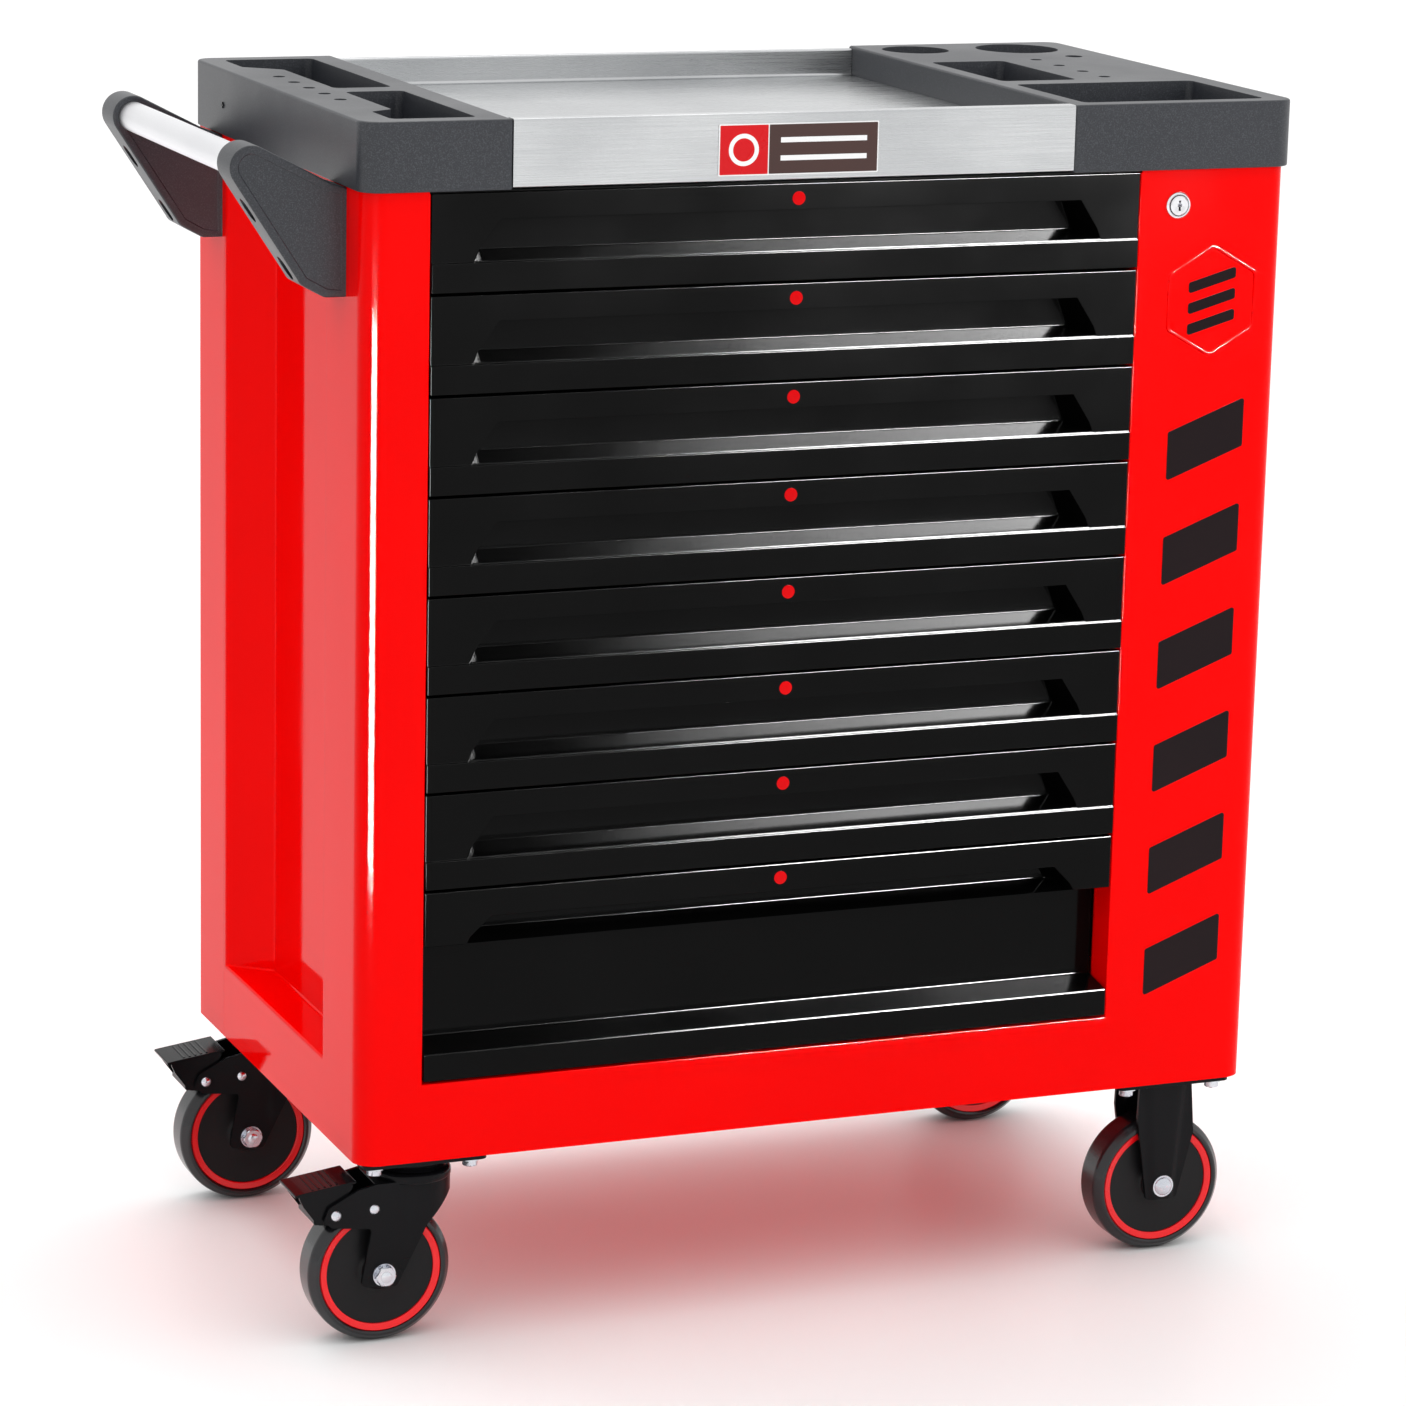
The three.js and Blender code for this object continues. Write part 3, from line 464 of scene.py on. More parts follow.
class Effects:
    """The shader effects that several finishes share, each a node group made once."""

    @staticmethod
    def _start(name: str, inputs: dict[str, object], outputs: dict[str, str]) -> ShaderNodeTree:
        """A new group with its sockets.

        Args:
            name: The group's name.
            inputs: The name of each input with its value, a number or a colour.
            outputs: The name of each output with its socket type.

        Returns:
            The group, with an input and an output node.
        """
        group = bpy.data.node_groups.new(name, "ShaderNodeTree")
        for label, value in inputs.items():
            kind = "NodeSocketFloat" if isinstance(value, (int, float)) else "NodeSocketColor"
            socket = group.interface.new_socket(name=label, in_out="INPUT", socket_type=kind)
            socket.default_value = value
        for label, kind in outputs.items():
            group.interface.new_socket(name=label, in_out="OUTPUT", socket_type=kind)
        group.nodes.new("NodeGroupInput").name = "in"
        group.nodes.new("NodeGroupOutput").name = "out"
        return group

    @staticmethod
    def _noise(group: ShaderNodeTree, detail: float, stretch: Corner = (1, 1, 1)) -> ShaderNode:
        """A noise on Object coordinates whose scale is the group's Scale input."""
        place = group.nodes.new("ShaderNodeTexCoord")
        mapping = group.nodes.new("ShaderNodeMapping")
        mapping.inputs["Scale"].default_value = stretch
        noise = group.nodes.new("ShaderNodeTexNoise")
        noise.inputs["Detail"].default_value = detail
        group.links.new(place.outputs["Object"], mapping.inputs["Vector"])
        group.links.new(mapping.outputs["Vector"], noise.inputs["Vector"])
        group.links.new(group.nodes["in"].outputs["Scale"], noise.inputs["Scale"])
        return noise

    @staticmethod
    def _bump(group: ShaderNodeTree, height: NodeSocket) -> None:
        """Ends a group in a bump of the given height, as deep as its Depth input."""
        bump = group.nodes.new("ShaderNodeBump")
        group.links.new(group.nodes["in"].outputs["Depth"], bump.inputs["Distance"])
        group.links.new(height, bump.inputs["Height"])
        group.links.new(bump.outputs["Normal"], group.nodes["out"].inputs["Normal"])

    @classmethod
    @cache
    def tone(cls) -> ShaderNodeTree:
        """Drifts slowly between two colours over the surface."""
        grey = (0.5, 0.5, 0.5, 1.0)
        inputs = {"Scale": 6.0, "First": grey, "Second": grey}
        group = cls._start("surface_tone", inputs, {"Color": "NodeSocketColor"})
        noise = cls._noise(group, detail=4.0)
        spread = ramp(group, noise.outputs["Fac"], low=0.35, high=0.65)
        mix = mixture(group, spread.outputs["Result"], group.nodes["in"].outputs["First"])
        group.links.new(group.nodes["in"].outputs["Second"], mix.inputs["B"])
        group.links.new(mix.outputs["Result"], group.nodes["out"].inputs["Color"])
        return group

    @classmethod
    @cache
    def gloss(cls) -> ShaderNodeTree:
        """Varies the roughness between clean and handled patches."""
        inputs = {"Scale": 4.0, "Clean": 0.2, "Handled": 0.3}
        group = cls._start("handled_gloss", inputs, {"Roughness": "NodeSocketFloat"})
        noise = cls._noise(group, detail=5.0)
        spread = ramp(group, noise.outputs["Fac"], low=0.4, high=0.7)
        group.links.new(group.nodes["in"].outputs["Clean"], spread.inputs["To Min"])
        group.links.new(group.nodes["in"].outputs["Handled"], spread.inputs["To Max"])
        group.links.new(spread.outputs["Result"], group.nodes["out"].inputs["Roughness"])
        return group

    @classmethod
    @cache
    def ripple(cls) -> ShaderNodeTree:
        """The shallow waviness of a sprayed or powder-coated skin."""
        inputs = {"Scale": 400.0, "Depth": 1e-5}
        group = cls._start("paint_ripple", inputs, {"Normal": "NodeSocketVector"})
        cls._bump(group, cls._noise(group, detail=1.0).outputs["Fac"])
        return group

    @classmethod
    @cache
    def grain(cls) -> ShaderNodeTree:
        """The leathery spark-eroded grain of a moulded surface, with a mask of its high spots."""
        inputs = {"Scale": 900.0, "Depth": 5e-5}
        outputs = {"Normal": "NodeSocketVector", "High spots": "NodeSocketFloat"}
        group = cls._start("moulded_grain", inputs, outputs)
        noise = cls._noise(group, detail=3.0)
        cells = group.nodes.new("ShaderNodeTexVoronoi")
        cells.feature = "SMOOTH_F1"
        group.links.new(noise.inputs["Vector"].links[0].from_socket, cells.inputs["Vector"])
        group.links.new(group.nodes["in"].outputs["Scale"], cells.inputs["Scale"])
        both = group.nodes.new("ShaderNodeMath")
        both.operation = "MULTIPLY"
        group.links.new(noise.outputs["Fac"], both.inputs[0])
        group.links.new(cells.outputs["Distance"], both.inputs[1])
        cls._bump(group, both.outputs["Value"])
        group.links.new(both.outputs["Value"], group.nodes["out"].inputs["High spots"])
        return group

    @classmethod
    @cache
    def brushed(cls) -> ShaderNodeTree:
        """Long fine scratches along X, with a mask of the scratches."""
        inputs = {"Scale": 900.0, "Depth": 1e-5}
        outputs = {"Normal": "NodeSocketVector", "Scratches": "NodeSocketFloat"}
        group = cls._start("brushed_grain", inputs, outputs)
        noise = cls._noise(group, detail=3.0, stretch=(0.012, 1, 1))
        cls._bump(group, noise.outputs["Fac"])
        group.links.new(noise.outputs["Fac"], group.nodes["out"].inputs["Scratches"])
        return group


# ---------------------------------------------------------------- finishes


@dataclass(frozen=True)
class Finish:
    """A finish of one colour, whose surface drifts slightly in tone and gloss."""

    name: str
    slot: str
    colour: Colour
    second: Colour
    roughness: float
    handled: float
    metallic: float = 0.0
    specular: float = 0.5
    patch_scale: float = 5.0

    _gloss_scale: ClassVar[float] = 1.7
    _materials: ClassVar[dict[str, Material]] = {}

    def material(self) -> Material:
        """The material of this finish, made the first time it is asked for."""
        if self.name not in self._materials:
            material = bpy.data.materials.new(self.name)
            material.use_nodes = True
            tree = material.node_tree
            shader = tree.nodes["Principled BSDF"]
            shader.inputs["Metallic"].default_value = self.metallic
            shader.inputs["Specular IOR Level"].default_value = self.specular
            tone = self.place(tree, Effects.tone(), Scale=self.patch_scale)
            tone.inputs["First"].default_value = (*self.colour, 1.0)
            tone.inputs["Second"].default_value = (*self.second, 1.0)
            tree.links.new(tone.outputs["Color"], shader.inputs["Base Color"])
            scale = self.patch_scale * self._gloss_scale
            gloss = self.place(tree, Effects.gloss(), Scale=scale, Clean=self.roughness, Handled=self.handled)
            tree.links.new(gloss.outputs["Roughness"], shader.inputs["Roughness"])
            self.texture(tree, shader)
            self._materials[self.name] = material
        return self._materials[self.name]

    @staticmethod
    def place(tree: NodeTree, effect: NodeTree, **values: float) -> ShaderNode:
        """An effect placed in a material, with its own numbers."""
        node = tree.nodes.new("ShaderNodeGroup")
        node.node_tree = effect
        for label, value in values.items():
            node.inputs[label].default_value = value
        return node

    @staticmethod
    def overlay(tree: NodeTree, shader: ShaderNode, mask: NodeSocket, colour: Colour) -> None:
        """Lays a colour over the shader's own one as a mask says."""
        mix = mixture(tree, mask, shader.inputs["Base Color"].links[0].from_socket)
        mix.inputs["B"].default_value = (*colour, 1.0)
        tree.links.new(mix.outputs["Result"], shader.inputs["Base Color"])

    def texture(self, tree: NodeTree, shader: ShaderNode) -> None:
        """Adds what this kind of finish has beyond its tone and gloss. A plain finish has nothing."""


@dataclass(frozen=True)
class Paint(Finish):
    """A sprayed or powder-coated skin."""

    ripple_scale: float = 260.0
    ripple_depth: float = 6e-6

    def texture(self, tree: NodeTree, shader: ShaderNode) -> None:
        """Adds the paint's waviness."""
        ripple = self.place(tree, Effects.ripple(), Scale=self.ripple_scale, Depth=self.ripple_depth)
        tree.links.new(ripple.outputs["Normal"], shader.inputs["Normal"])


@dataclass(frozen=True)
class Moulding(Finish):
    """A moulded plastic or rubber with a grained surface."""

    grain_scale: float = 1100.0
    grain_depth: float = 7e-5
    speck: Colour = (0.05, 0.054, 0.062)

    def texture(self, tree: NodeTree, shader: ShaderNode) -> None:
        """Adds the grain, and its high spots rubbed a little lighter."""
        grain = self.place(tree, Effects.grain(), Scale=self.grain_scale, Depth=self.grain_depth)
        tree.links.new(grain.outputs["Normal"], shader.inputs["Normal"])
        spots = ramp(tree, grain.outputs["High spots"], low=0.18, high=0.42)
        self.overlay(tree, shader, spots.outputs["Result"], self.speck)


@dataclass(frozen=True)
class Brushed(Finish):
    """A bare metal with long fine scratches along X."""

    scratch_scale: float = 1400.0
    scratch_depth: float = 2e-5

    def texture(self, tree: NodeTree, shader: ShaderNode) -> None:
        """Adds the scratches to the surface, its gloss and its colour."""
        lines = self.place(tree, Effects.brushed(), Scale=self.scratch_scale, Depth=self.scratch_depth)
        tree.links.new(lines.outputs["Normal"], shader.inputs["Normal"])
        spread = ramp(tree, lines.outputs["Scratches"], low=0.35, high=0.65)
        spread.inputs["To Min"].default_value = self.roughness
        spread.inputs["To Max"].default_value = self.handled
        tree.links.new(spread.outputs["Result"], shader.inputs["Roughness"])
        self.overlay(tree, shader, lines.outputs["Scratches"], self.second)


RED_PAINT = Paint(
    "gloss_red_paint", "red_paint", (0.88, 0.0, 0.0), (0.84, 0.0, 0.0), 0.05, 0.09, specular=0.05
)
BLACK_PAINT = Paint(
    "semigloss_black_paint",
    "black_paint",
    (0.001, 0.001, 0.001),
    (0.0018, 0.0018, 0.0018),
    0.09,
    0.12,
    specular=0.07,
)
CASTER_PAINT = Paint(
    "gloss_black_caster_paint",
    "black_paint",
    (0.003, 0.003, 0.0035),
    (0.005, 0.005, 0.006),
    0.14,
    0.22,
    specular=0.12,
)
GREY_PLASTIC = Moulding(
    "grained_grey_plastic", "grey_plastic", (0.017, 0.019, 0.024), (0.022, 0.024, 0.03), 0.36, 0.44
)
WHEEL_PLASTIC = Moulding(
    "satin_black_hub",
    "wheel_plastic",
    (0.005, 0.005, 0.0055),
    (0.007, 0.007, 0.0075),
    0.32,
    0.42,
    specular=0.2,
    grain_scale=1600.0,
    grain_depth=2e-5,
    speck=(0.009, 0.009, 0.01),
)
TYRE = Moulding(
    "polished_black_tread",
    "tyre",
    (0.006, 0.006, 0.008),
    (0.010, 0.010, 0.012),
    0.14,
    0.26,
    grain_scale=500.0,
    grain_depth=5e-6,
    speck=(0.012, 0.012, 0.014),
)
RING_PLASTIC = Paint(
    "red_hub_ring", "wheel_plastic", (0.85, 0.002, 0.006), (0.75, 0.002, 0.006), 0.22, 0.3
)
WORKTOP_STEEL = Brushed(
    "brushed_worktop_steel",
    "worktop_steel",
    (0.76, 0.77, 0.775),
    (0.50, 0.51, 0.52),
    0.22,
    0.34,
    metallic=1.0,
)
ALUMINIUM = Brushed(
    "anodised_grip", "aluminium", (0.87, 0.87, 0.88), (0.78, 0.78, 0.80), 0.3, 0.42, metallic=1.0
)
ZINC = Paint(
    "bright_zinc_plate",
    "zinc",
    (0.72, 0.74, 0.78),
    (0.60, 0.62, 0.68),
    0.2,
    0.34,
    metallic=1.0,
    patch_scale=60.0,
)
CHROME = Paint(
    "polished_chrome", "chrome", (0.86, 0.86, 0.88), (0.80, 0.80, 0.82), 0.05, 0.09, metallic=1.0
)
BADGE_RED = Paint(
    "badge_red_enamel", "badge", (0.62, 0.0, 0.004), (0.52, 0.0, 0.004), 0.25, 0.32, specular=0.3
)
EMBLEM_RED = Paint(
    "emblem_red_enamel", "badge", (0.7, 0.0, 0.002), (0.6, 0.0, 0.002), 0.2, 0.28, specular=0.1
)
BADGE_DARK = Paint("badge_dark_enamel", "badge", (0.035, 0.012, 0.009), (0.05, 0.016, 0.012), 0.3, 0.4)
BADGE_WHITE = Paint("badge_white_enamel", "badge", (0.85, 0.85, 0.85), (0.78, 0.78, 0.78), 0.35, 0.45)
VINYL = Paint(
    "satin_black_vinyl",
    "black_paint",
    (0.006, 0.002, 0.003),
    (0.009, 0.003, 0.004),
    0.32,
    0.42,
    specular=0.15,
)


# ---------------------------------------------------------------- pieces


def finish_piece(
    bm: BMesh,
    name: str,
    body: str,
    finish: Finish,
    stands_for: Sequence[str] = (),
    flat_under: float = 38.0,
) -> Object:
    """Makes a shape a finished piece that rides on a body. The shape is used up.

    Args:
        bm: The shape, in millimetres in the cabinet's frame.
        name: The piece's name.
        body: The body that it moves with.
        finish: Its finish.
        stands_for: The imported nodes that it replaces.
        flat_under: Edges sharper than this many degrees stay sharp.

    Returns:
        The finished object.
    """
    LAYOUT.settle(bm)
    mesh = bpy.data.meshes.new(name)
    bm.to_mesh(mesh)
    bm.free()
    mesh.shade_smooth()
    mesh.set_sharp_from_angle(angle=math.radians(flat_under))
    mesh.materials.append(finish.material())
    piece = bpy.data.objects.new(name, mesh)
    bpy.context.scene.collection.objects.link(piece)
    even = piece.modifiers.new("even_faces", "WEIGHTED_NORMAL")
    even.keep_sharp = True
    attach(piece, body)
    if stands_for:
        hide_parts(*stands_for)
    LOG.info("%s rides on %s, %d faces", name, body, len(mesh.polygons))
    return piece


def dress_node(node: str, finish: Finish) -> None:
    """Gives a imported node, whose shape is kept, its finish."""
    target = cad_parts[node]
    target.data.materials.clear()
    target.data.materials.append(finish.material())
    LOG.info("%s keeps its packed shape", node)


# ---------------------------------------------------------------- cabinet


@dataclass
class Cabinet:
    """The painted steel body: side panels with their posts, back panel and the rail under the drawers."""

    sheet: float = 1.5
    post_radius: float = 18.0
    back_radius: float = 5.0
    fold_radius: float = 1.0
    fold_share: float = 0.9
    jamb_depth: float = 29.0
    recess_front: float = 94.5
    recess_back: float = 362.0
    recess_depth: float = 34.0
    recess_slope: float = 29.0
    recess_margin: float = 12.0
    press_radius: float = 2.4
    seam: float = 0.3
    low: Vector = field(init=False)
    high: Vector = field(init=False)
    rail_low: Vector = field(init=False)
    rail_high: Vector = field(init=False)

    def __post_init__(self) -> None:
        """Reads the cabinet's outer size and its opening from the frame."""
        self.low, self.high = LAYOUT.box("back_panel")
        self.rail_low, self.rail_high = LAYOUT.box("front_rail")

    def opening(self, side: Side) -> float:
        """The x of the drawer opening's edge on one side."""
        edge = self.rail_low.x if side is Side.LEFT else self.rail_high.x
        return edge + side.value * self.seam

    def side_panel(self, side: Side) -> None:
        """One side with its front post, turned-in jamb and pressed recess."""
        s = side.value
        out = self.high.x * s
        open_x = self.opening(side)
        seam_y = self.low.y - self.seam
        path = rounded(
            [
                (open_x, self.jamb_depth, 0),
                (open_x, 0, self.fold_radius),
                (out, 0, self.post_radius),
                (out, seam_y, 0),
            ],
            steps=12,
            closed=False,
        )
        bm = folded(path, Axis.Z, self.low.z, self.high.z)
        self._open_jamb(bm, open_x, s)
        self._press_recess(bm, out, s)
        thicken(bm, self.sheet, Vector((0, self.recess_back / 2, (self.low.z + self.high.z) / 2)))
        if side is Side.RIGHT:
            bm = cut(bm, [Lock().hole()])
        node = f"side_panel_{side.label}"
        finish_piece(bm, node + "_shell", "cabinet", RED_PAINT, [node], flat_under=30)

    def _open_jamb(self, bm: BMesh, open_x: float, s: int) -> None:
        """Cuts the jamb away beside the rail and above the drawers."""
        top = LAYOUT.box("drawer_front_1")[1].z
        for z in (self.rail_high.z, top):
            split(bm, (0, 0, z), Axis.Z)
        inner = open_x + s * self.fold_radius * self.fold_share
        ends = [
            f
            for f in bm.faces
            if (f.calc_center_median().x - inner) * s < 0
            and not self.rail_high.z < f.calc_center_median().z < top
        ]
        bmesh.ops.delete(bm, geom=ends, context="FACES")

    def _press_recess(self, bm: BMesh, out: float, s: int) -> None:
        """Presses the deep rectangular recess into the flat side."""
        low_z, high_z = self.rail_high.z, self.high.z - self.recess_margin
        cuts = [
            ((0, self.recess_front, 0), Axis.Y),
            ((0, self.recess_back, 0), Axis.Y),
            ((0, 0, low_z), Axis.Z),
            ((0, 0, high_z), Axis.Z),
        ]
        for spot, axis in cuts:
            split(bm, spot, axis, [f for f in bm.faces if abs(f.calc_center_median().x - out) < ON_FACE])

        def inside(f: BMFace) -> bool:
            """Whether a face lies in the recess's outline on the flat side."""
            c = f.calc_center_median()
            in_y = within(c.y, self.recess_front, self.recess_back, -0.1)
            return abs(c.x - out) < ON_FACE and in_y and within(c.z, low_z, high_z, -0.1)

        floor = bmesh.ops.extrude_face_region(bm, geom=[f for f in bm.faces if inside(f)])["geom"]
        lifted = [v for v in floor if isinstance(v, BMVert)]
        doubled = [f for f in bm.faces if inside(f) and f not in floor]
        bmesh.ops.delete(bm, geom=doubled, context="FACES_ONLY")
        bmesh.ops.translate(bm, verts=lifted, vec=(-s * self.recess_depth, 0, 0))
        middle = (self.recess_front + self.recess_back) / 2
        for v in lifted:
            v.co.y += self.recess_slope if v.co.y < middle else -self.recess_slope
        bm.normal_update()

        def on_recess(spot: Vector) -> bool:
            """Whether an edge's middle belongs to the recess."""
            in_x = abs(spot.x) > abs(out) - self.recess_depth - 1
            in_y = within(spot.y, self.recess_front, self.recess_back, 1)
            return in_x and in_y and within(spot.z, low_z, high_z, 1)

        soften(bm, self.press_radius, 4, on_recess, sharper_than=20)

    def back_panel(self) -> None:
        """The back, which comes round both sides."""
        path = rounded(
            [
                (self.low.x, self.low.y, 0),
                (self.low.x, self.high.y, self.back_radius),
                (self.high.x, self.high.y, self.back_radius),
                (self.high.x, self.low.y, 0),
            ],
            closed=False,
        )
        bm = folded(path, Axis.Z, self.low.z, self.high.z)
        thicken(bm, self.sheet, Vector((0, 0, self.low.z)))
        finish_piece(bm, "back_panel_shell", "cabinet", RED_PAINT, ["back_panel"])

    def front_rail(self) -> None:
        """The rail under the drawers, flush with both posts."""
        path = rounded(
            [
                (0, self.low.z, 0),
                (0, self.rail_high.z, self.fold_radius),
                (self.jamb_depth, self.rail_high.z, 0),
            ],
            closed=False,
        )
        start = self.opening(Side.LEFT) - self.fold_radius
        end = self.opening(Side.RIGHT) + self.fold_radius
        bm = folded(path, Axis.X, start, end)
        thicken(bm, self.sheet, Vector((0, self.jamb_depth, self.low.z)))
        finish_piece(bm, "front_rail_shell", "cabinet", RED_PAINT, ["front_rail"])

    def build(self) -> None:
        """Builds the body and dresses its inner nodes."""
        for side in Side:
            self.side_panel(side)
            dress_node(f"slide_rack_{side.label}", ZINC)
        self.back_panel()
        self.front_rail()
        dress_node("base_pan", RED_PAINT)
        dress_node("top_deck", BLACK_PAINT)


# ---------------------------------------------------------------- drawers


@dataclass
class DrawerStack:
    """Seven shallow drawers over a deep one, each a folded front with a finger pull and an open box."""

    count: int = 8
    band_height: float = 22.5
    band_proud: float = 1.5
    ledge_rise: float = 5.5
    wall: float = 1.5
    edge_radius: float = 1.6
    pull_front_bottom: Point2 = (-307.0, 228.0)
    pull_front_top: Point2 = (-284.0, 208.0)
    pull_back_bottom: Point2 = (-291.0, 212.0)
    pull_back_top: Point2 = (-278.0, 198.0)
    pull_top: float = 53.0
    pull_roof_rise: float = 9.0
    deep_band: float = 44.0
    deep_pull: float = 25.0
    emblem_x: float = -38.0
    emblem_drop: float = 11.5
    emblem_radius: float = 5.4
    emblem_proud: float = 0.5
    emblem_foot: float = 0.2
    box_wall: float = 1.2
    box_radius: float = 3.0
    box_gap: float = 0.3
    right_room: float = 7.0
    slide_width: float = 5.3
    slide_gap: float = 0.1
    slide_front: float = 46.0
    slide_rise: float = 28.0
    slide_height: float = 16.0
    slide_flange: float = 3.5
    slide_channel: float = 3.2

    def front_section(self, height: float, depth: float) -> list[Point2]:
        """The (y, z) outline of a shallow front: a plate over a band that stands proud of it."""
        return [
            (-self.band_proud, 0),
            (depth, 0),
            (depth, height),
            (0, height),
            (0, self.band_height + self.band_proud * self.ledge_rise / depth),
            (-self.band_proud, self.band_height),
        ]

    def deep_section(self, height: float, depth: float) -> list[Point2]:
        """The (y, z) outline of the deep front: an upper band over a recessed panel and a sloping ledge."""
        back = depth - self.wall
        under = height - self.deep_band
        return [
            (-self.band_proud, 0),
            (depth, 0),
            (depth, height),
            (0, height),
            (0, under),
            (back, under),
            (back, self.band_height + self.ledge_rise),
            (-self.band_proud, self.band_height),
        ]

    def pull(self, bottom: float, top: float, depth: float) -> BMesh:
        """The hollow of a finger pull, narrowing towards the back."""
        before = -6 * self.band_proud
        rows = [
            (self.pull_front_bottom, before, bottom),
            (self.pull_front_top, before, top),
            (self.pull_back_bottom, depth - self.wall, bottom + self.ledge_rise),
            (self.pull_back_top, depth - self.wall, top + self.pull_roof_rise),
        ]
        return hull([(x, y, z) for ends, y, z in rows for x in ends])

    def front(self, index: int) -> None:
        """One drawer's front with its emblem, counted from 1 at the top."""
        node = f"drawer_front_{index}"
        low, high = LAYOUT.box(node)
        depth, height = high.y, high.z - low.z
        deep = index == self.count
        section = self.deep_section(height, depth) if deep else self.front_section(height, depth)
        body = prism(section, Axis.X, low.x, high.x)
        bottom = height - self.deep_band - self.wall if deep else self.band_height
        top = height - self.deep_pull if deep else self.pull_top
        body = cut(body, [self.pull(bottom, top, depth)])
        bmesh.ops.dissolve_limit(body, angle_limit=math.radians(1), verts=body.verts, edges=body.edges)
        soften(body, self.edge_radius, 3, lambda p: p.y < depth - 0.5)
        bmesh.ops.translate(body, verts=body.verts, vec=(0, 0, low.z))
        finish_piece(body, f"{node}_shell", f"drawer_{index}", BLACK_PAINT, [node])
        spot = Vector((self.emblem_x, 0, high.z - self.emblem_drop))
        r, t, foot = self.emblem_radius, self.emblem_proud, self.emblem_foot
        profile = [(0, -t), (r - 1, -t), (r, -t / 2), (r, foot), (0, foot)]
        emblem = turned(profile, Axis.Y, spot, 28)
        finish_piece(emblem, f"drawer_emblem_{index}", f"drawer_{index}", EMBLEM_RED)

    def box(self, index: int) -> None:
        """One drawer's open box and its two slide members."""
        node = f"drawer_box_{index}"
        low, high = LAYOUT.box(node)
        front_low, front_high = LAYOUT.box(f"drawer_front_{index}")
        left, right = low.x + self.slide_width, high.x - self.right_room
        tub = block((left, front_high.y + self.box_gap, low.z), (right, high.y, high.z))
        lid = max(tub.faces, key=lambda f: f.calc_center_median().z)
        bmesh.ops.delete(tub, geom=[lid], context="FACES_ONLY")
        soften(tub, self.box_radius, 3)
        thicken(tub, self.box_wall, (low + high) / 2)
        finish_piece(tub, f"{node}_tub", f"drawer_{index}", BLACK_PAINT, [node])
        base = front_low.z + self.slide_rise
        for side, x0, x1 in (
            (Side.LEFT, low.x, left - self.slide_gap),
            (Side.RIGHT, right + self.slide_gap, right + self.slide_width),
        ):
            rail = block((x0, self.slide_front, base), (x1, high.y - 1, base + self.slide_height))
            web = sorted(rail.faces, key=lambda f: f.calc_center_median().x * side.value)[-1]
            bmesh.ops.inset_region(rail, faces=[web], thickness=self.slide_flange, depth=0)
            bmesh.ops.translate(rail, verts=web.verts, vec=(-side.value * self.slide_channel, 0, 0))
            soften(rail, 0.8, 2)
            finish_piece(rail, f"drawer_slide_{index}_{side.label}", f"drawer_{index}", ZINC)

    def build(self) -> None:
        """Builds all of the drawers."""
        for index in range(1, self.count + 1):
            self.front(index)
            self.box(index)


# ---------------------------------------------------------------- lock


@dataclass
class Lock:
    """The cylinder lock in the right-hand post."""

    sleeve_radius: float = 9.4
    flange_radius: float = 11.0
    plug_radius: float = 7.9
    play: float = 0.3
    face: float = -3.0
    sleeve_end: float = 22.0
    plug_end: float = 26.0
    neck_radius: float = 4.0
    cam_front: float = 29.5
    cam_half: float = 5.0

    @property
    def centre(self) -> Vector:
        """The lock's axis at the cabinet's front face."""
        middle = LAYOUT.centre("lock_housing")
        return Vector((middle.x, 0, middle.z))

    def hole(self) -> BMesh:
        """The hole that the sleeve passes through."""
        return rod(Axis.Y, self.centre, self.sleeve_radius + self.play, -2, 4, 36)

    def housing(self) -> None:
        """The sleeve with its rounded flange."""
        inner, sleeve, flange = self.plug_radius + self.play, self.sleeve_radius, self.flange_radius
        profile = [
            (inner, self.sleeve_end),
            (inner, self.face + 1.2),
            (inner + 0.5, self.face + 0.5),
            (inner + 1.2, self.face),
            (flange - 1.6, self.face + 0.3),
            (flange - 0.5, self.face + 1.1),
            (flange, self.face + 2.1),
            (flange, -self.play),
            (sleeve, -self.play),
            (sleeve, self.sleeve_end),
        ]
        bm = turned(profile, Axis.Y, self.centre, 48, ring=True)
        finish_piece(bm, "lock_sleeve", "cabinet", CHROME, ["lock_housing"])

    def plug(self) -> None:
        """The turning plug with its key slot, and the cam behind it."""
        r, front = self.plug_radius, self.face - 0.5
        profile = [
            (0, front + 0.5),
            (3.4, front + 0.5),
            (4.2, front),
            (r - 1, front),
            (r, front + 0.8),
            (r, self.plug_end),
            (0, self.plug_end),
        ]
        barrel = turned(profile, Axis.Y, self.centre, 40)
        c = self.centre
        slot = block((c.x - 0.9, front - 2, c.z - 4.2), (c.x + 0.9, 6, c.z + 4.2))
        step = block((c.x - 1.9, front - 2, c.z - 1.0), (c.x + 1.9, 5, c.z + 1.6))
        barrel = cut(barrel, [slot, step])
        soften(barrel, 0.25, 2, lambda p: p.y < 1, sharper_than=50)
        neck = rod(Axis.Y, c, self.neck_radius, self.plug_end + 0.1, self.cam_front - 0.1, 20)
        high, half = LAYOUT.box("lock_plug")[1], self.cam_half
        outline = rounded(rectangle(c.x - half, c.x + half, c.z - half, high.z, half - 0.5))
        cam = prism(outline, Axis.Y, self.cam_front, high.y)
        soften(cam, 0.4, 2)
        finish_piece(merged(barrel, neck, cam), "lock_barrel", "lock_plug", CHROME, ["lock_plug"])

    def build(self) -> None:
        """Builds the lock and dresses its bar."""
        self.housing()
        self.plug()
        dress_node("lock_bar", ZINC)


# ---------------------------------------------------------------- post graphics


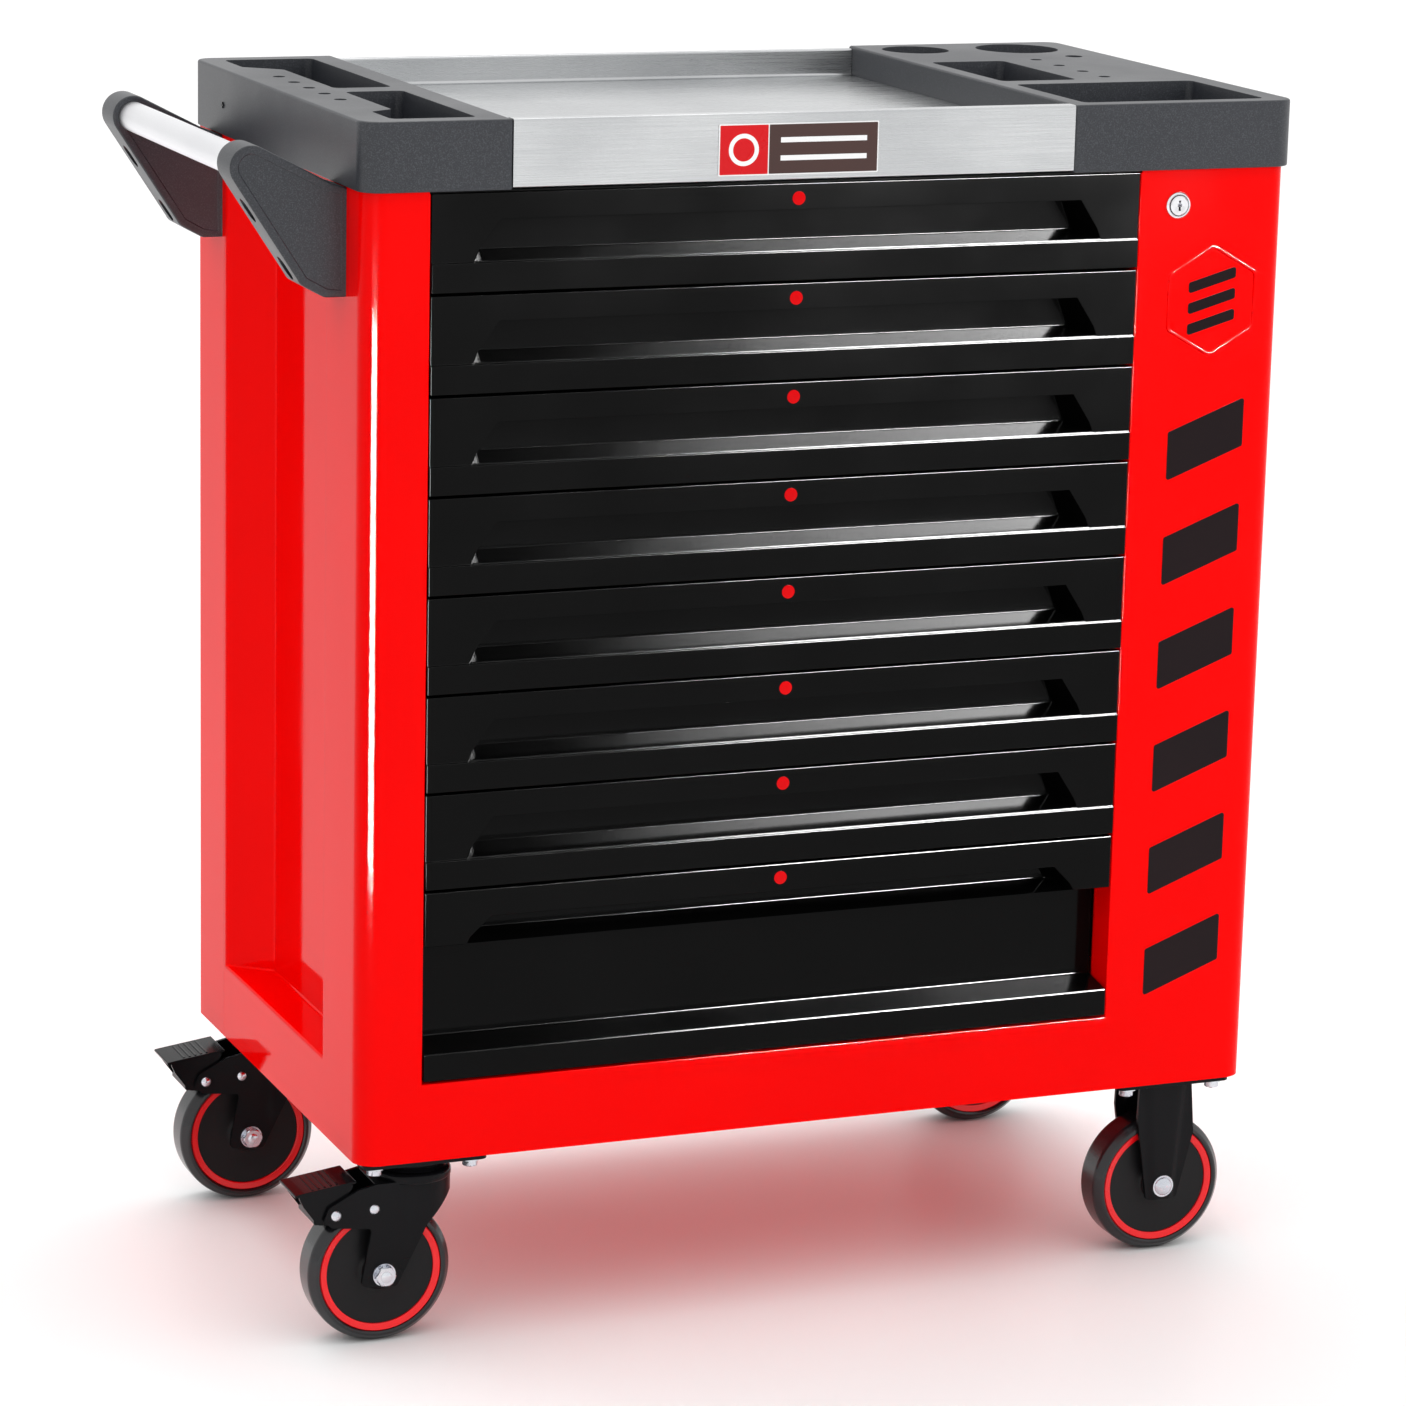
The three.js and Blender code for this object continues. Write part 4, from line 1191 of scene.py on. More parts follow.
@dataclass
class PostGraphics:
    """A plain pressed hexagon and a column of slanted vinyl bars on the wide right-hand post."""

    middle_x: float = 326.0
    emblem_z: float = 815.0
    emblem_radius: float = 46.0
    emblem_bar_pitch: float = 17.0
    emblem_bar_height: float = 9.0
    emblem_bar_slant: float = 12.0
    emblem_bar_half_width: float = 21.0
    bead: float = 1.2
    bead_width: float = 3.2
    bar_count: int = 6
    bar_top: float = 735.0
    bar_pitch: float = 87.0
    bar_height: float = 40.0
    bar_slant: float = 26.0
    bar_half_width: float = 34.0
    film: float = 0.3

    def emblem(self) -> None:
        """A low pressed hexagon with three vinyl bars in it."""
        outer = rounded([(a, b, 6) for a, b in arc((0, 0), self.emblem_radius, 30, 330, 5)])
        inner_radius = self.emblem_radius - self.bead_width
        inner = rounded([(a, b, 5) for a, b in arc((0, 0), inner_radius, 30, 330, 5)])
        ring = cut(prism(outer, Axis.Y, -self.bead, 0.2), [prism(inner, Axis.Y, -9, 9)])
        soften(ring, 0.7, 2, lambda p: p.y < -self.bead / 2)
        bmesh.ops.translate(ring, verts=ring.verts, vec=(self.middle_x, 0, self.emblem_z))
        finish_piece(ring, "post_emblem_ring", "cabinet", RED_PAINT)
        size = self.emblem_bar_half_width, self.emblem_bar_height, self.emblem_bar_slant
        bars = [self._bar(self.emblem_z + k * self.emblem_bar_pitch, *size) for k in (1, 0, -1)]
        finish_piece(merged(*bars), "post_emblem_bars", "cabinet", VINYL)

    def _bar(self, z: float, half_width: float, height: float, slant: float) -> BMesh:
        """One slanted bar of vinyl film round a height."""
        x, low, high = self.middle_x, z - (height + slant) / 2, z + (height + slant) / 2
        outline = [
            (x - half_width, low, 2),
            (x + half_width, low + slant, 2),
            (x + half_width, high, 2),
            (x - half_width, high - slant, 2),
        ]
        return prism(rounded(outline, 4), Axis.Y, -self.film, 0.1)

    def build(self) -> None:
        """Builds the emblem and the column of bars."""
        self.emblem()
        first = self.bar_top - (self.bar_height + self.bar_slant) / 2
        for i in range(self.bar_count):
            z = first - i * self.bar_pitch
            bar = self._bar(z, self.bar_half_width, self.bar_height, self.bar_slant)
            finish_piece(bar, f"post_bar_{i + 1}", "cabinet", VINYL)


# ---------------------------------------------------------------- top


@dataclass
class Top:
    """The steel worktop between two moulded trays, with its badge plate."""

    sheet: float = 1.5
    fold_radius: float = 1.8
    lip: float = 13.0
    sunk: float = 25.0
    upstand: float = 8.0
    upstand_drop: float = 2.0
    return_depth: float = 14.0
    pit_up: float = 11.0
    pit_draft: float = 2.5
    pit_radius: float = 6.0
    toe_chamfer: float = 24.0
    rim_bevel: float = 2.6
    pit_bevel: float = 1.6
    hole_depth: float = 16.0
    hole_radius: float = 5.0
    front_radius: float = 18.0
    rear_radius: float = 14.0
    seam_radius: float = 2.0
    badge_split: float = 0.31
    left_bin_x: Point2 = (-346.0, -298.0)
    rear_bin_y: Point2 = (216.0, 426.0)
    rear_toe: Point2 = (-374.0, 350.0)
    front_bin_y: Point2 = (14.0, 190.0)
    front_toe: Point2 = (-366.0, 74.0)
    left_hole_x: float = -365.0
    left_hole_y: tuple[float, ...] = (302.0, 262.0, 222.0, 182.0, 142.0)
    side_screws: tuple[Point2, ...] = ((361.0, 947.0), (107.0, 949.5))
    cups: tuple[Corner, ...] = ((240.0, 402.0, 29.0), (334.0, 396.0, 36.0))
    right_bins: tuple[Sequence[float], ...] = ((211, 279, 164, 307), (211, 372, 12, 140))
    right_hole_x: float = 312.0
    right_hole_y: tuple[float, ...] = (311.0, 266.0, 221.0, 180.0)
    wide_hole: Corner = (357.0, 330.0, 7.5)
    label: Sequence[float] = (341, 377, 161, 293)
    low: Vector = field(init=False)
    high: Vector = field(init=False)

    def __post_init__(self) -> None:
        """Reads the trays' height from the frame."""
        self.low, self.high = LAYOUT.box("tray_left")

    def worktop(self) -> None:
        """One folded sheet: a raised front lip, a sunk floor and a back upstand."""
        low, high = LAYOUT.box("worktop")
        r, rim = self.fold_radius, self.high.z
        floor = rim - self.sunk
        path = rounded(
            [
                (low.y + self.return_depth, low.z + self.sheet, 0),
                (low.y, low.z + self.sheet, r),
                (low.y, rim, r),
                (low.y + self.lip, rim, r),
                (low.y + self.lip, floor, r + 1),
                (high.y - self.upstand, floor, r + 1),
                (high.y - self.upstand, rim - self.upstand_drop, r),
                (high.y, rim - self.upstand_drop, r),
                (high.y, low.z, 0),
            ],
            steps=5,
            closed=False,
        )
        bm = folded(path, Axis.X, low.x, high.x)
        thicken(bm, self.sheet, Vector((0, (low.y + high.y) / 2, low.z)))
        finish_piece(bm, "worktop_sheet", "cabinet", WORKTOP_STEEL, ["worktop"], flat_under=50)

    def badge(self) -> None:
        """A blank two-tone plate with a white edge on the worktop's lip."""
        low, high = LAYOUT.box("badge_plate")
        divide = low.x + (high.x - low.x) * self.badge_split
        plate = prism(rounded(rectangle(low.x, high.x, low.z, high.z, 1.0)), Axis.Y, low.y + 0.25, high.y)
        finish_piece(plate, "badge_back", "cabinet", BADGE_WHITE, ["badge_plate"])
        for name, x0, x1, finish in (
            ("badge_left", low.x + 1.0, divide - 0.5, BADGE_RED),
            ("badge_right", divide + 0.5, high.x - 1.0, BADGE_DARK),
        ):
            outline = rounded(rectangle(x0, x1, low.z + 1, high.z - 1, 0.6))
            tile = prism(outline, Axis.Y, low.y + 0.1, low.y + 0.5)
            finish_piece(tile, name, "cabinet", finish)
        middle = Vector(((low.x + divide) / 2, low.y, (low.z + high.z) / 2))
        ring = turned([(9, 0.0), (12.5, 0.0), (12.5, 0.2), (9, 0.2)], Axis.Y, middle, 40, ring=True)
        stripes = [
            block((divide + 10, low.y, z - 2), (high.x - 10, low.y + 0.2, z + 2))
            for z in (middle.z - 7, middle.z + 7)
        ]
        finish_piece(merged(ring, *stripes), "badge_marks", "cabinet", BADGE_WHITE)

    def _pit(self, corners: Sequence[Corner]) -> BMesh:
        """The hollow of a pit with drafted walls and a rounded floor, from its outline at the rim."""
        floor = self.low.z + self.pit_up
        hollow = prism(rounded(corners, 5), Axis.Z, floor, self.high.z + 1)
        base = [v for v in hollow.verts if v.co.z < floor + 1]
        middle = sum((v.co for v in base), Vector()) / len(base)
        spread = max(abs(v.co.x - middle.x) for v in base), max(abs(v.co.y - middle.y) for v in base)
        for v in base:
            v.co.x -= (v.co.x - middle.x) / spread[0] * self.pit_draft
            v.co.y -= (v.co.y - middle.y) / spread[1] * self.pit_draft
        soften(hollow, 3.0, 3, lambda p: p.z < floor + 1)
        return hollow

    def _cup(self, x: float, y: float, radius: float) -> BMesh:
        """The hollow of a round pit."""
        floor, above = self.low.z + self.pit_up, self.high.z + 1
        profile = [(0, floor), (radius - 6, floor), (radius - 3, floor + 3), (radius, above), (0, above)]
        return turned(profile, Axis.Z, Vector((x, y, 0)), 56)

    def _hole(self, x: float, y: float, radius: float) -> BMesh:
        """A hole for a driver's blade."""
        return rod(Axis.Z, Vector((x, y, 0)), radius, self.high.z - self.hole_depth, self.high.z + 1, 24)

    def _tray(self, name: str, plan: Sequence[Corner], hollows: list[BMesh]) -> None:
        """A moulded tray with its pits and holes.

        Args:
            name: The tray's node.
            plan: The corners of its outline, anticlockwise.
            hollows: What is cut out of it.
        """
        body = prism(rounded(plan, 10), Axis.Z, self.low.z, self.high.z)
        soften(body, self.rim_bevel, 4, lambda p: p.z > self.high.z - 1)
        soften(body, 1.2, 2, lambda p: p.z < self.low.z + 1)
        body = cut(body, hollows)
        bmesh.ops.dissolve_limit(body, angle_limit=math.radians(0.8), verts=body.verts, edges=body.edges)
        rim = self.high.z - 0.01

        low, high = LAYOUT.box(name)
        edge = self.rim_bevel + 0.2

        def at_pit(p: Vector) -> bool:
            """Whether an edge's middle lies on the rim of a pit or a hole."""
            return p.z > rim and within(p.x, low.x, high.x, -edge) and within(p.y, low.y, high.y, -edge)

        soften(body, self.pit_bevel, 3, at_pit)
        finish_piece(body, f"{name}_moulding", "cabinet", GREY_PLASTIC, [name], flat_under=32)

    def tray_left(self) -> None:
        """The left tray: two bins with wider toes, and a row of holes between the bins and the edge."""
        low, high = LAYOUT.box("tray_left")
        (left, right), r = self.left_bin_x, self.pit_radius
        (near, far), (toe, end) = self.rear_bin_y, self.rear_toe
        rear = [
            (right, near, r),
            (right, far, r),
            (toe, far, r),
            (toe, end + self.toe_chamfer, r),
            (left, end, r),
            (left, near, r),
        ]
        (near, far), (toe, end) = self.front_bin_y, self.front_toe
        front = [
            (right, near, r),
            (right, far, r),
            (left, far, r),
            (left, end, r),
            (toe, end - self.toe_chamfer / 2, r),
            (toe, near, r),
        ]
        holes = [self._hole(self.left_hole_x, y, self.hole_radius) for y in self.left_hole_y]
        radii = self.front_radius, self.seam_radius, self.seam_radius, self.rear_radius
        plan = rectangle(low.x, high.x, low.y, high.y, *radii)
        self._tray("tray_left", plan, [self._pit(rear), self._pit(front), *holes])
        for i, (y, z) in enumerate(self.side_screws):
            self._side_screw(f"tray_screw_{i + 1}", low.x, y, z)

    def _side_screw(self, name: str, x: float, y: float, z: float) -> None:
        """A countersunk screw in the tray's outer side, sitting a little below its surface."""
        spot = Vector((x, y, z))
        profile = [(0, 0.5), (2.2, 0.5), (3.6, 0.15), (4.6, 0.0), (5.2, 0.3), (5.2, 3), (0, 3)]
        head = turned(profile, Axis.X, spot, 28)
        cross = [
            block((x - 1, y - a, z - b), (x + 2.4, y + a, z + b)) for a, b in ((0.6, 2.6), (2.6, 0.6))
        ]
        finish_piece(cut(head, cross), name, "cabinet", CASTER_PAINT)

    def tray_right(self) -> None:
        """The right tray: two cup holders, two bins, a few holes and a blank label."""
        low, high = LAYOUT.box("tray_right")
        hollows = [
            *[self._cup(*cup) for cup in self.cups],
            *[self._pit(rectangle(*bounds, self.pit_radius)) for bounds in self.right_bins],
            *[self._hole(self.right_hole_x, y, self.hole_radius) for y in self.right_hole_y],
            self._hole(*self.wide_hole),
        ]
        radii = self.seam_radius, self.front_radius, self.rear_radius, self.seam_radius
        plan = rectangle(low.x, high.x, low.y, high.y, *radii)
        self._tray("tray_right", plan, hollows)
        label = prism(rounded(rectangle(*self.label, 2.0)), Axis.Z, high.z - 0.2, high.z - 0.01)
        finish_piece(label, "tray_label", "cabinet", BADGE_WHITE)

    def build(self) -> None:
        """Builds the whole top."""
        self.worktop()
        self.badge()
        self.tray_left()
        self.tray_right()


# ---------------------------------------------------------------- push handle


@dataclass
class PushHandle:
    """A brushed grip between two moulded brackets on the left side."""

    boss_radius: float = 16.9
    grip_radius: float = 12.0
    socket_depth: float = 24.0
    pocket_radius: float = 6.5
    screw_heights: Point2 = (66.0, 21.0)
    slope_x: float = -428.0
    slope_up: float = 11.0
    foot_x: float = -408.0
    screw_seat_x: float = -406.0
    border: float = 4.6

    @property
    def axis(self) -> Vector:
        """The middle of the grip."""
        return LAYOUT.centre("handle_grip")

    def _outline(self, node: str) -> list[Point2]:
        """The (x, z) outline of a bracket: a foot on the cabinet and an arm up to the grip."""
        low, high = LAYOUT.box(node)
        cabinet = LAYOUT.box("back_panel")[1]
        axis = self.axis
        down = Vector((self.slope_x - axis.x, low.z + self.slope_up - axis.z))
        tangent = math.degrees(math.atan2(down.y, down.x) - math.acos(self.boss_radius / down.length))
        foot = rounded(
            [
                (axis.x, axis.z, 0),
                (self.slope_x, low.z + self.slope_up, 9),
                (self.foot_x, low.z, 9),
                (high.x, low.z, 0),
                (high.x, cabinet.z - 1, 0),
                (-402, cabinet.z + 2.5, 12),
                (axis.x, axis.z, 0),
            ],
            closed=False,
        )
        boss = arc((axis.x, axis.z), self.boss_radius, 64.8, tangent % 360, 20)
        return foot[1:-1] + boss

    def bracket(self, node: str, opens_back: bool) -> None:
        """One bracket with its grip socket and its two screw pockets.

        Args:
            node: The bracket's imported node.
            opens_back: Whether its socket opens towards the back.
        """
        low, high = LAYOUT.box(node)
        axis, middle_y = self.axis, (low.y + high.y) / 2
        body = prism(self._outline(node), Axis.Y, low.y, high.y)
        soften(body, 1.8, 3, lambda p: p.x < high.x - 1)
        sides = sorted(body.faces, key=lambda f: f.calc_area())[-2:]
        for depth, width in ((0.0, self.border), (-0.7, 0.8)):
            bmesh.ops.inset_individual(body, faces=sides, thickness=width, depth=depth)
        start = high.y - self.socket_depth if opens_back else low.y - 1
        end = high.y + 1 if opens_back else low.y + self.socket_depth
        socket = rod(Axis.Y, Vector((axis.x, 0, axis.z)), self.grip_radius + 0.3, start, end, 40)
        outside, pocket = axis.x - 30, self.pocket_radius
        pockets = []
        for rise in self.screw_heights:
            z = low.z + rise
            pockets.append(rod(Axis.X, Vector((0, middle_y, z)), pocket, outside, self.screw_seat_x, 28))
            slot = rounded(rectangle(middle_y - pocket, middle_y + pocket, z - 9, z + 9, pocket - 0.1))
            pockets.append(prism(slot, Axis.X, outside, self.screw_seat_x - 6))
        finish_piece(cut(body, [socket, *pockets]), f"{node}_moulding", "cabinet", GREY_PLASTIC, [node])

    def screw(self, index: int) -> None:
        """One fixing screw with a hexagon socket in its head."""
        node = f"handle_screw_{index}"
        low, high = LAYOUT.box(node)
        spot = Vector((low.x, (low.y + high.y) / 2, (low.z + high.z) / 2))
        long = high.x - low.x
        head = [(0, 0), (4.2, 0), (5.2, 0.6), (5.6, 1.6), (5.6, 4), (3, 4)]
        body = turned([*head, (3, long - 0.1), (0, long - 0.1)], Axis.X, spot, 28)
        socket = prism(arc((spot.y, spot.z), 2.9, 0, 300, 5), Axis.X, spot.x - 1, spot.x + 2.4)
        finish_piece(cut(body, [socket]), f"{node}_bolt", "cabinet", ZINC, [node])

    def grip(self) -> None:
        """The tube between the brackets."""
        low, high = LAYOUT.box("handle_grip")
        half = (high.y - low.y) / 2
        r = self.grip_radius
        profile = [
            (r - 1.5, -half),
            (r - 0.4, -half),
            (r, -half + 0.4),
            (r, half - 0.4),
            (r - 0.4, half),
            (r - 1.5, half),
        ]
        tube = turned(profile, Axis.Y, self.axis, 56, ring=True)
        finish_piece(tube, "handle_tube", "cabinet", ALUMINIUM, ["handle_grip"])

    def build(self) -> None:
        """Builds the whole handle."""
        self.bracket("handle_bracket_front", True)
        self.bracket("handle_bracket_rear", False)
        self.grip()
        for index in range(1, 5):
            self.screw(index)


# ---------------------------------------------------------------- casters


@dataclass
class Caster:
    """What a swivel and a rigid caster share: plate, bolts, axle and wheel."""

    row: Row
    side: Side
    plate_size: Point2 = (104.0, 76.0)
    plate_thick: float = 3.5
    bolt_spots: Point2 = (40.0, 28.0)
    bolt_flats: float = 11.0
    washer_radius: float = 8.2
    axle_radius: float = 5.0
    axle_washer_radius: float = 9.4
    axle_nut_flats: float = 14.6
    leg_step: float = 2.5
    leg_in: float = 21.5
    leg_thick: float = 3.0
    wheel_radius: float = 59.0
    tyre_half: float = 18.0
    ring_radii: Point2 = (44.5, 50.5)

    @property
    def label(self) -> str:
        """The words that end this caster's node names."""
        return f"{self.row.value}_{self.side.label}"

    @property
    def axle_at(self) -> Vector:
        """The middle of the wheel."""
        return LAYOUT.centre(f"tyre_{self.label}")

    @property
    def plate_top(self) -> float:
        """The height of the plate's upper face, just under the cabinet."""
        return LAYOUT.box("front_rail")[0].z - 0.3

    def plate(self, x: float, y: float, node: str, extra: Sequence[BMesh]) -> None:
        """The plate with its four bolts and whatever is fixed to it.

        Args:
            x: The middle of the plate.
            y: The middle of the plate.
            node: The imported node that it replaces.
            extra: Shapes in the same finish that are fixed to it.
        """
        (w, d), top = self.plate_size, self.plate_top
        outline = rounded(rectangle(x - w / 2, x + w / 2, y - d / 2, y + d / 2, 6.0))
        plate = prism(outline, Axis.Z, top - self.plate_thick, top)
        soften(plate, 0.6, 2)
        finish_piece(merged(plate, *extra), f"{node}_plate", "cabinet", CASTER_PAINT, [node])
        under = top - self.plate_thick - 0.1
        bolts = []
        for i in (-1, 1):
            for j in (-1, 1):
                spot = Vector((x + i * self.bolt_spots[0], y + j * self.bolt_spots[1], 0))
                bolts.append(rod(Axis.Z, spot, self.washer_radius, under - 1.4, under, 28))
                bolts.append(chamfered_hex(Axis.Z, spot, self.bolt_flats, under - 6.6, under - 1.5))
        finish_piece(merged(*bolts), f"caster_bolts_{self.label}", "cabinet", ZINC)

    def wheel(self) -> None:
        """The tyre, the coloured ring and the dished core."""
        body, at = f"wheel_{self.label}", self.axle_at
        inner, outer = self.ring_radii
        half, r = self.tyre_half, self.wheel_radius
        shoulder = rounded(
            [
                (outer, half - 1.4, 0),
                (outer + 1.2, half, 1.2),
                (outer + 3.0, half, 3.5),
                (r, half - 6.5, 6.0),
                (r, 0, 0),
            ],
            6,
            closed=False,
        )
        tyre = turned(shoulder + mirrored(shoulder[:-1]), Axis.Y, at, 96, ring=True)
        finish_piece(tyre, f"tyre_{self.label}_tread", body, TYRE, [f"tyre_{self.label}"])
        rings = []
        for sign in (-1, 1):
            face = half - 2.4
            section = [
                (inner, sign * (face - 3)),
                (inner, sign * (face - 0.6)),
                (inner + 0.8, sign * face),
                (outer - 1.0, sign * (face + 0.8)),
                (outer - 0.2, sign * face),
                (outer - 0.2, sign * (face - 3)),
            ]
            rings.append(turned(section, Axis.Y, at, 96, ring=True))
        finish_piece(merged(*rings), f"wheel_ring_{self.label}", body, RING_PLASTIC)
        web = half - 4.0
        hub = half + 1.5
        face = [
            (5.2, hub),
            (12.6, hub),
            (14, hub - 1.2),
            (15.5, web + 0.6),
            (19, web - 1.2),
            (30, web - 1.6),
            (40, web - 0.6),
            (inner - 0.3, web - 0.2),
            (inner - 0.3, half - 6),
            (outer - 0.3, half - 6),
        ]
        core = turned(face + mirrored(face), Axis.Y, at, 96, ring=True)
        finish_piece(core, f"wheel_disc_{self.label}", body, WHEEL_PLASTIC, [f"wheel_core_{self.label}"])

    def axle(self, body: str, domed: bool) -> None:
        """The axle bolt, with its head or nut proud of the fork's legs.

        Args:
            body: The body that it is fixed to.
            domed: Whether the front end is a dome head rather than a nut and a threaded end.
        """
        at, leg = self.axle_at, self.leg_in + self.leg_thick
        shapes = [rod(Axis.Y, at, self.axle_radius, -leg - 0.2, leg + 0.2, 28)]
        dome = [(0, 5.2), (3.5, 4.9), (6.3, 3.8), (7.6, 2.2), (7.8, 1.5), (0, 1.5)]
        tip = [(0, 8.6), (3.2, 8.4), (4.4, 7.6), (4.6, 7.05), (0, 7.05)]
        for sign in (-1, 1):
            start = sign * (leg + 0.15)
            shapes.append(rod(Axis.Y, at, self.axle_washer_radius, start, start + sign * 1.4, 36))
            if domed:
                shapes.append(turned([(r, start + sign * h) for r, h in dome], Axis.Y, at, 36))
                continue
            low, high = sorted((start + sign * 1.5, start + sign * 7))
            shapes.append(chamfered_hex(Axis.Y, at, self.axle_nut_flats, low, high))
            shapes.append(turned([(r, start + sign * h) for r, h in tip], Axis.Y, at, 28))
        finish_piece(merged(*shapes), f"axle_{self.label}_bolt", body, ZINC, [f"axle_{self.label}"])

    def leg(self, outline: Sequence[Point2], sign: int, pressed: Callable[[float, float], float]) -> BMesh:
        """One pressed leg of a fork.

        Args:
            outline: Its (x, z) outline, relative to the caster's middle and the ground.
            sign: -1 for the front leg and 1 for the rear one.
            pressed: How far a point of it is pressed inwards.

        Returns:
            The leg, with its outer face at the fork's full width where nothing is pressed.
        """
        inner, outer = self.leg_in, self.leg_in + self.leg_thick
        plate = prism(outline, Axis.Y, *sorted((sign * inner, sign * outer)))
        xs = [p[0] for p in outline]
        zs = [p[1] for p in outline]
        for axis, low, high in ((Axis.X, min(xs), max(xs)), (Axis.Z, min(zs), max(zs))):
            for k in range(1, int((high - low) / self.leg_step)):
                split(plate, axis.vector(low + self.leg_step * k), axis)
        for v in plate.verts:
            v.co.y -= sign * pressed(v.co.x, v.co.z)
        return plate


@dataclass
class SwivelCaster(Caster):
    """A swivel caster with a brake."""

    swivel_x: float = -334.0
    ear_rivets: tuple[tuple[Point2, float], ...] = (((-38.0, 114.0), 1.1), ((-70.0, 112.0), 0.2))
    wrap_start: float = 2.0
    wrap_radius: float = 33.0
    rib_depth: float = 1.1
    rib_count: int = 5
    rib_width: float = 1.8
    deck_top: float = 134.5

    @property
    def fork_body(self) -> str:
        """The body that turns under the plate."""
        return f"caster_{self.label}"

    def _wrapped(self, x: float, z: float) -> float:
        """How far a leg wraps inwards towards its front edge, with a shallow rib before the bend."""
        rib = self.rib_depth * math.exp(-(((x + 13) / 5.5) ** 2)) * min(max((z - 70) / 20, 0), 1)
        over = min(max(x - self.wrap_start, 0.0), self.wrap_radius - 1.0)
        return self.wrap_radius - math.sqrt(self.wrap_radius**2 - over**2) + rib

    def fork(self) -> None:
        """The turning half: lower race, deck, legs and the ears that carry the brake."""
        y = self.axle_at.y
        top = self.deck_top
        outline = rounded(
            [
                (30, 120, 0),
                (30, top, 0),
                (-36, top, 4),
                (-52, 131, 4),
                (-76, 118.5, 4),
                (-80, 108, 3),
                (-73, 102, 3),
                (-40, 98, 3),
                (-49, 50, 4),
                (-19, 48, 4),
                (6, 97, 8),
            ],
            4,
        )
        deck = prism(rounded(rectangle(-37, 26, -21.4, 21.4, 2.0, 16.0, 16.0, 2.0)), Axis.Z, 131.2, top)
        soften(deck, 0.8, 2)
        section = [
            (6.6, 133),
            (30.5, 133),
            (32, 134.8),
            (32, 138.4),
            (30.8, 140.4),
            (28, 141),
            (24, 141),
            (22, 139.8),
            (6.6, 139.8),
        ]
        race = turned(section, Axis.Z, Vector(), 64, ring=True)
        legs = [self.leg(outline, sign, self._wrapped) for sign in (-1, 1)]
        whole = merged(deck, race, *legs)
        bmesh.ops.translate(whole, verts=whole.verts, vec=(self.swivel_x, y, 0))
        node = f"caster_fork_{self.label}"
        finish_piece(whole, f"{node}_pressing", self.fork_body, CASTER_PAINT, [node], flat_under=50)
        face = self.leg_in + self.leg_thick
        dome = [(0, 3.0), (2.0, 2.8), (3.6, 1.9), (4.4, 0.6), (4.4, 0), (0, 0)]
        rivets = []
        for (x, z), sunk in self.ear_rivets:
            spot = Vector((self.swivel_x + x, y, z))
            for sign in (-1, 1):
                seat = sign * (face - sunk)
                rivets.append(turned([(r, seat + sign * h) for r, h in dome], Axis.Y, spot, 28))
        finish_piece(merged(*rivets), f"fork_rivets_{self.label}", self.fork_body, ZINC)

    def fixed_half(self) -> None:
        """The plate with its upper race and king pin."""
        y = self.axle_at.y
        spot = Vector((self.swivel_x, y, 0))
        under = self.plate_top - self.plate_thick
        race = turned(
            [
                (0, under + 0.5),
                (29, under + 0.5),
                (29, under - 1),
                (27.6, under - 5.6),
                (26, under - 7.2),
                (28.2, under - 9.4),
                (20, under - 9.4),
                (0, under - 9.4),
            ],
            Axis.Z,
            spot,
            64,
        )
        pin = rod(Axis.Z, spot, 6, 126, under - 9.2, 28)
        nut = chamfered_hex(Axis.Z, spot, 17, 124.5, 129.6)
        self.plate(self.swivel_x, y, f"caster_plate_{self.label}", [race, pin, nut])

    def brake(self) -> None:
        """The pedal with its ribbed tread, its cheeks and its brake bar."""
        body, y = f"brake_{self.label}", self.axle_at.y
        px, half = self.swivel_x - 70, self.leg_in - 0.7
        tread = rounded(
            [
                (px - 33, 130.8, 0.8),
                (px - 32.4, 128.4, 0.8),
                (px - 24, 129.8, 6),
                (px + 18, 135.8, 0.8),
                (px + 17.8, 138, 0.8),
                (px - 25, 132.1, 6),
            ],
            4,
        )
        plate = prism(tread, Axis.Y, y - half, y + half)
        soften(plate, 0.6, 2, sharper_than=60)
        ribs = [
            block((x, y - half + 3, z), (x + self.rib_width, y + half - 3, z + 2))
            for x, z in ((px - 18 + 5 * k, 131.6 + 0.7 * k) for k in range(self.rib_count))
        ]
        cheek = rounded(
            [
                (px - 30, 129.4, 2),
                (px - 26, 121, 8),
                (px - 14, 104.5, 5),
                (px - 2, 103.2, 4),
                (px + 8, 108, 5),
                (px + 8, 122, 6),
                (px + 17, 136.4, 2),
            ],
            5,
        )
        cheeks = [
            prism(cheek, Axis.Y, *sorted((y + sign * half, y + sign * (half - 2)))) for sign in (-1, 1)
        ]
        bar = prism(
            rounded(rectangle(px - 17, px - 12, 104.5, 112, 2.0)), Axis.Y, y - half + 1, y + half - 1
        )
        node = f"brake_pedal_{self.label}"
        pedal = merged(plate, *ribs, *cheeks, bar)
        finish_piece(pedal, f"{node}_pressing", body, CASTER_PAINT, [node])

    def build(self) -> None:
        """Builds the whole caster."""
        self.fixed_half()
        self.fork()
        self.brake()
        self.axle(self.fork_body, False)
        self.wheel()


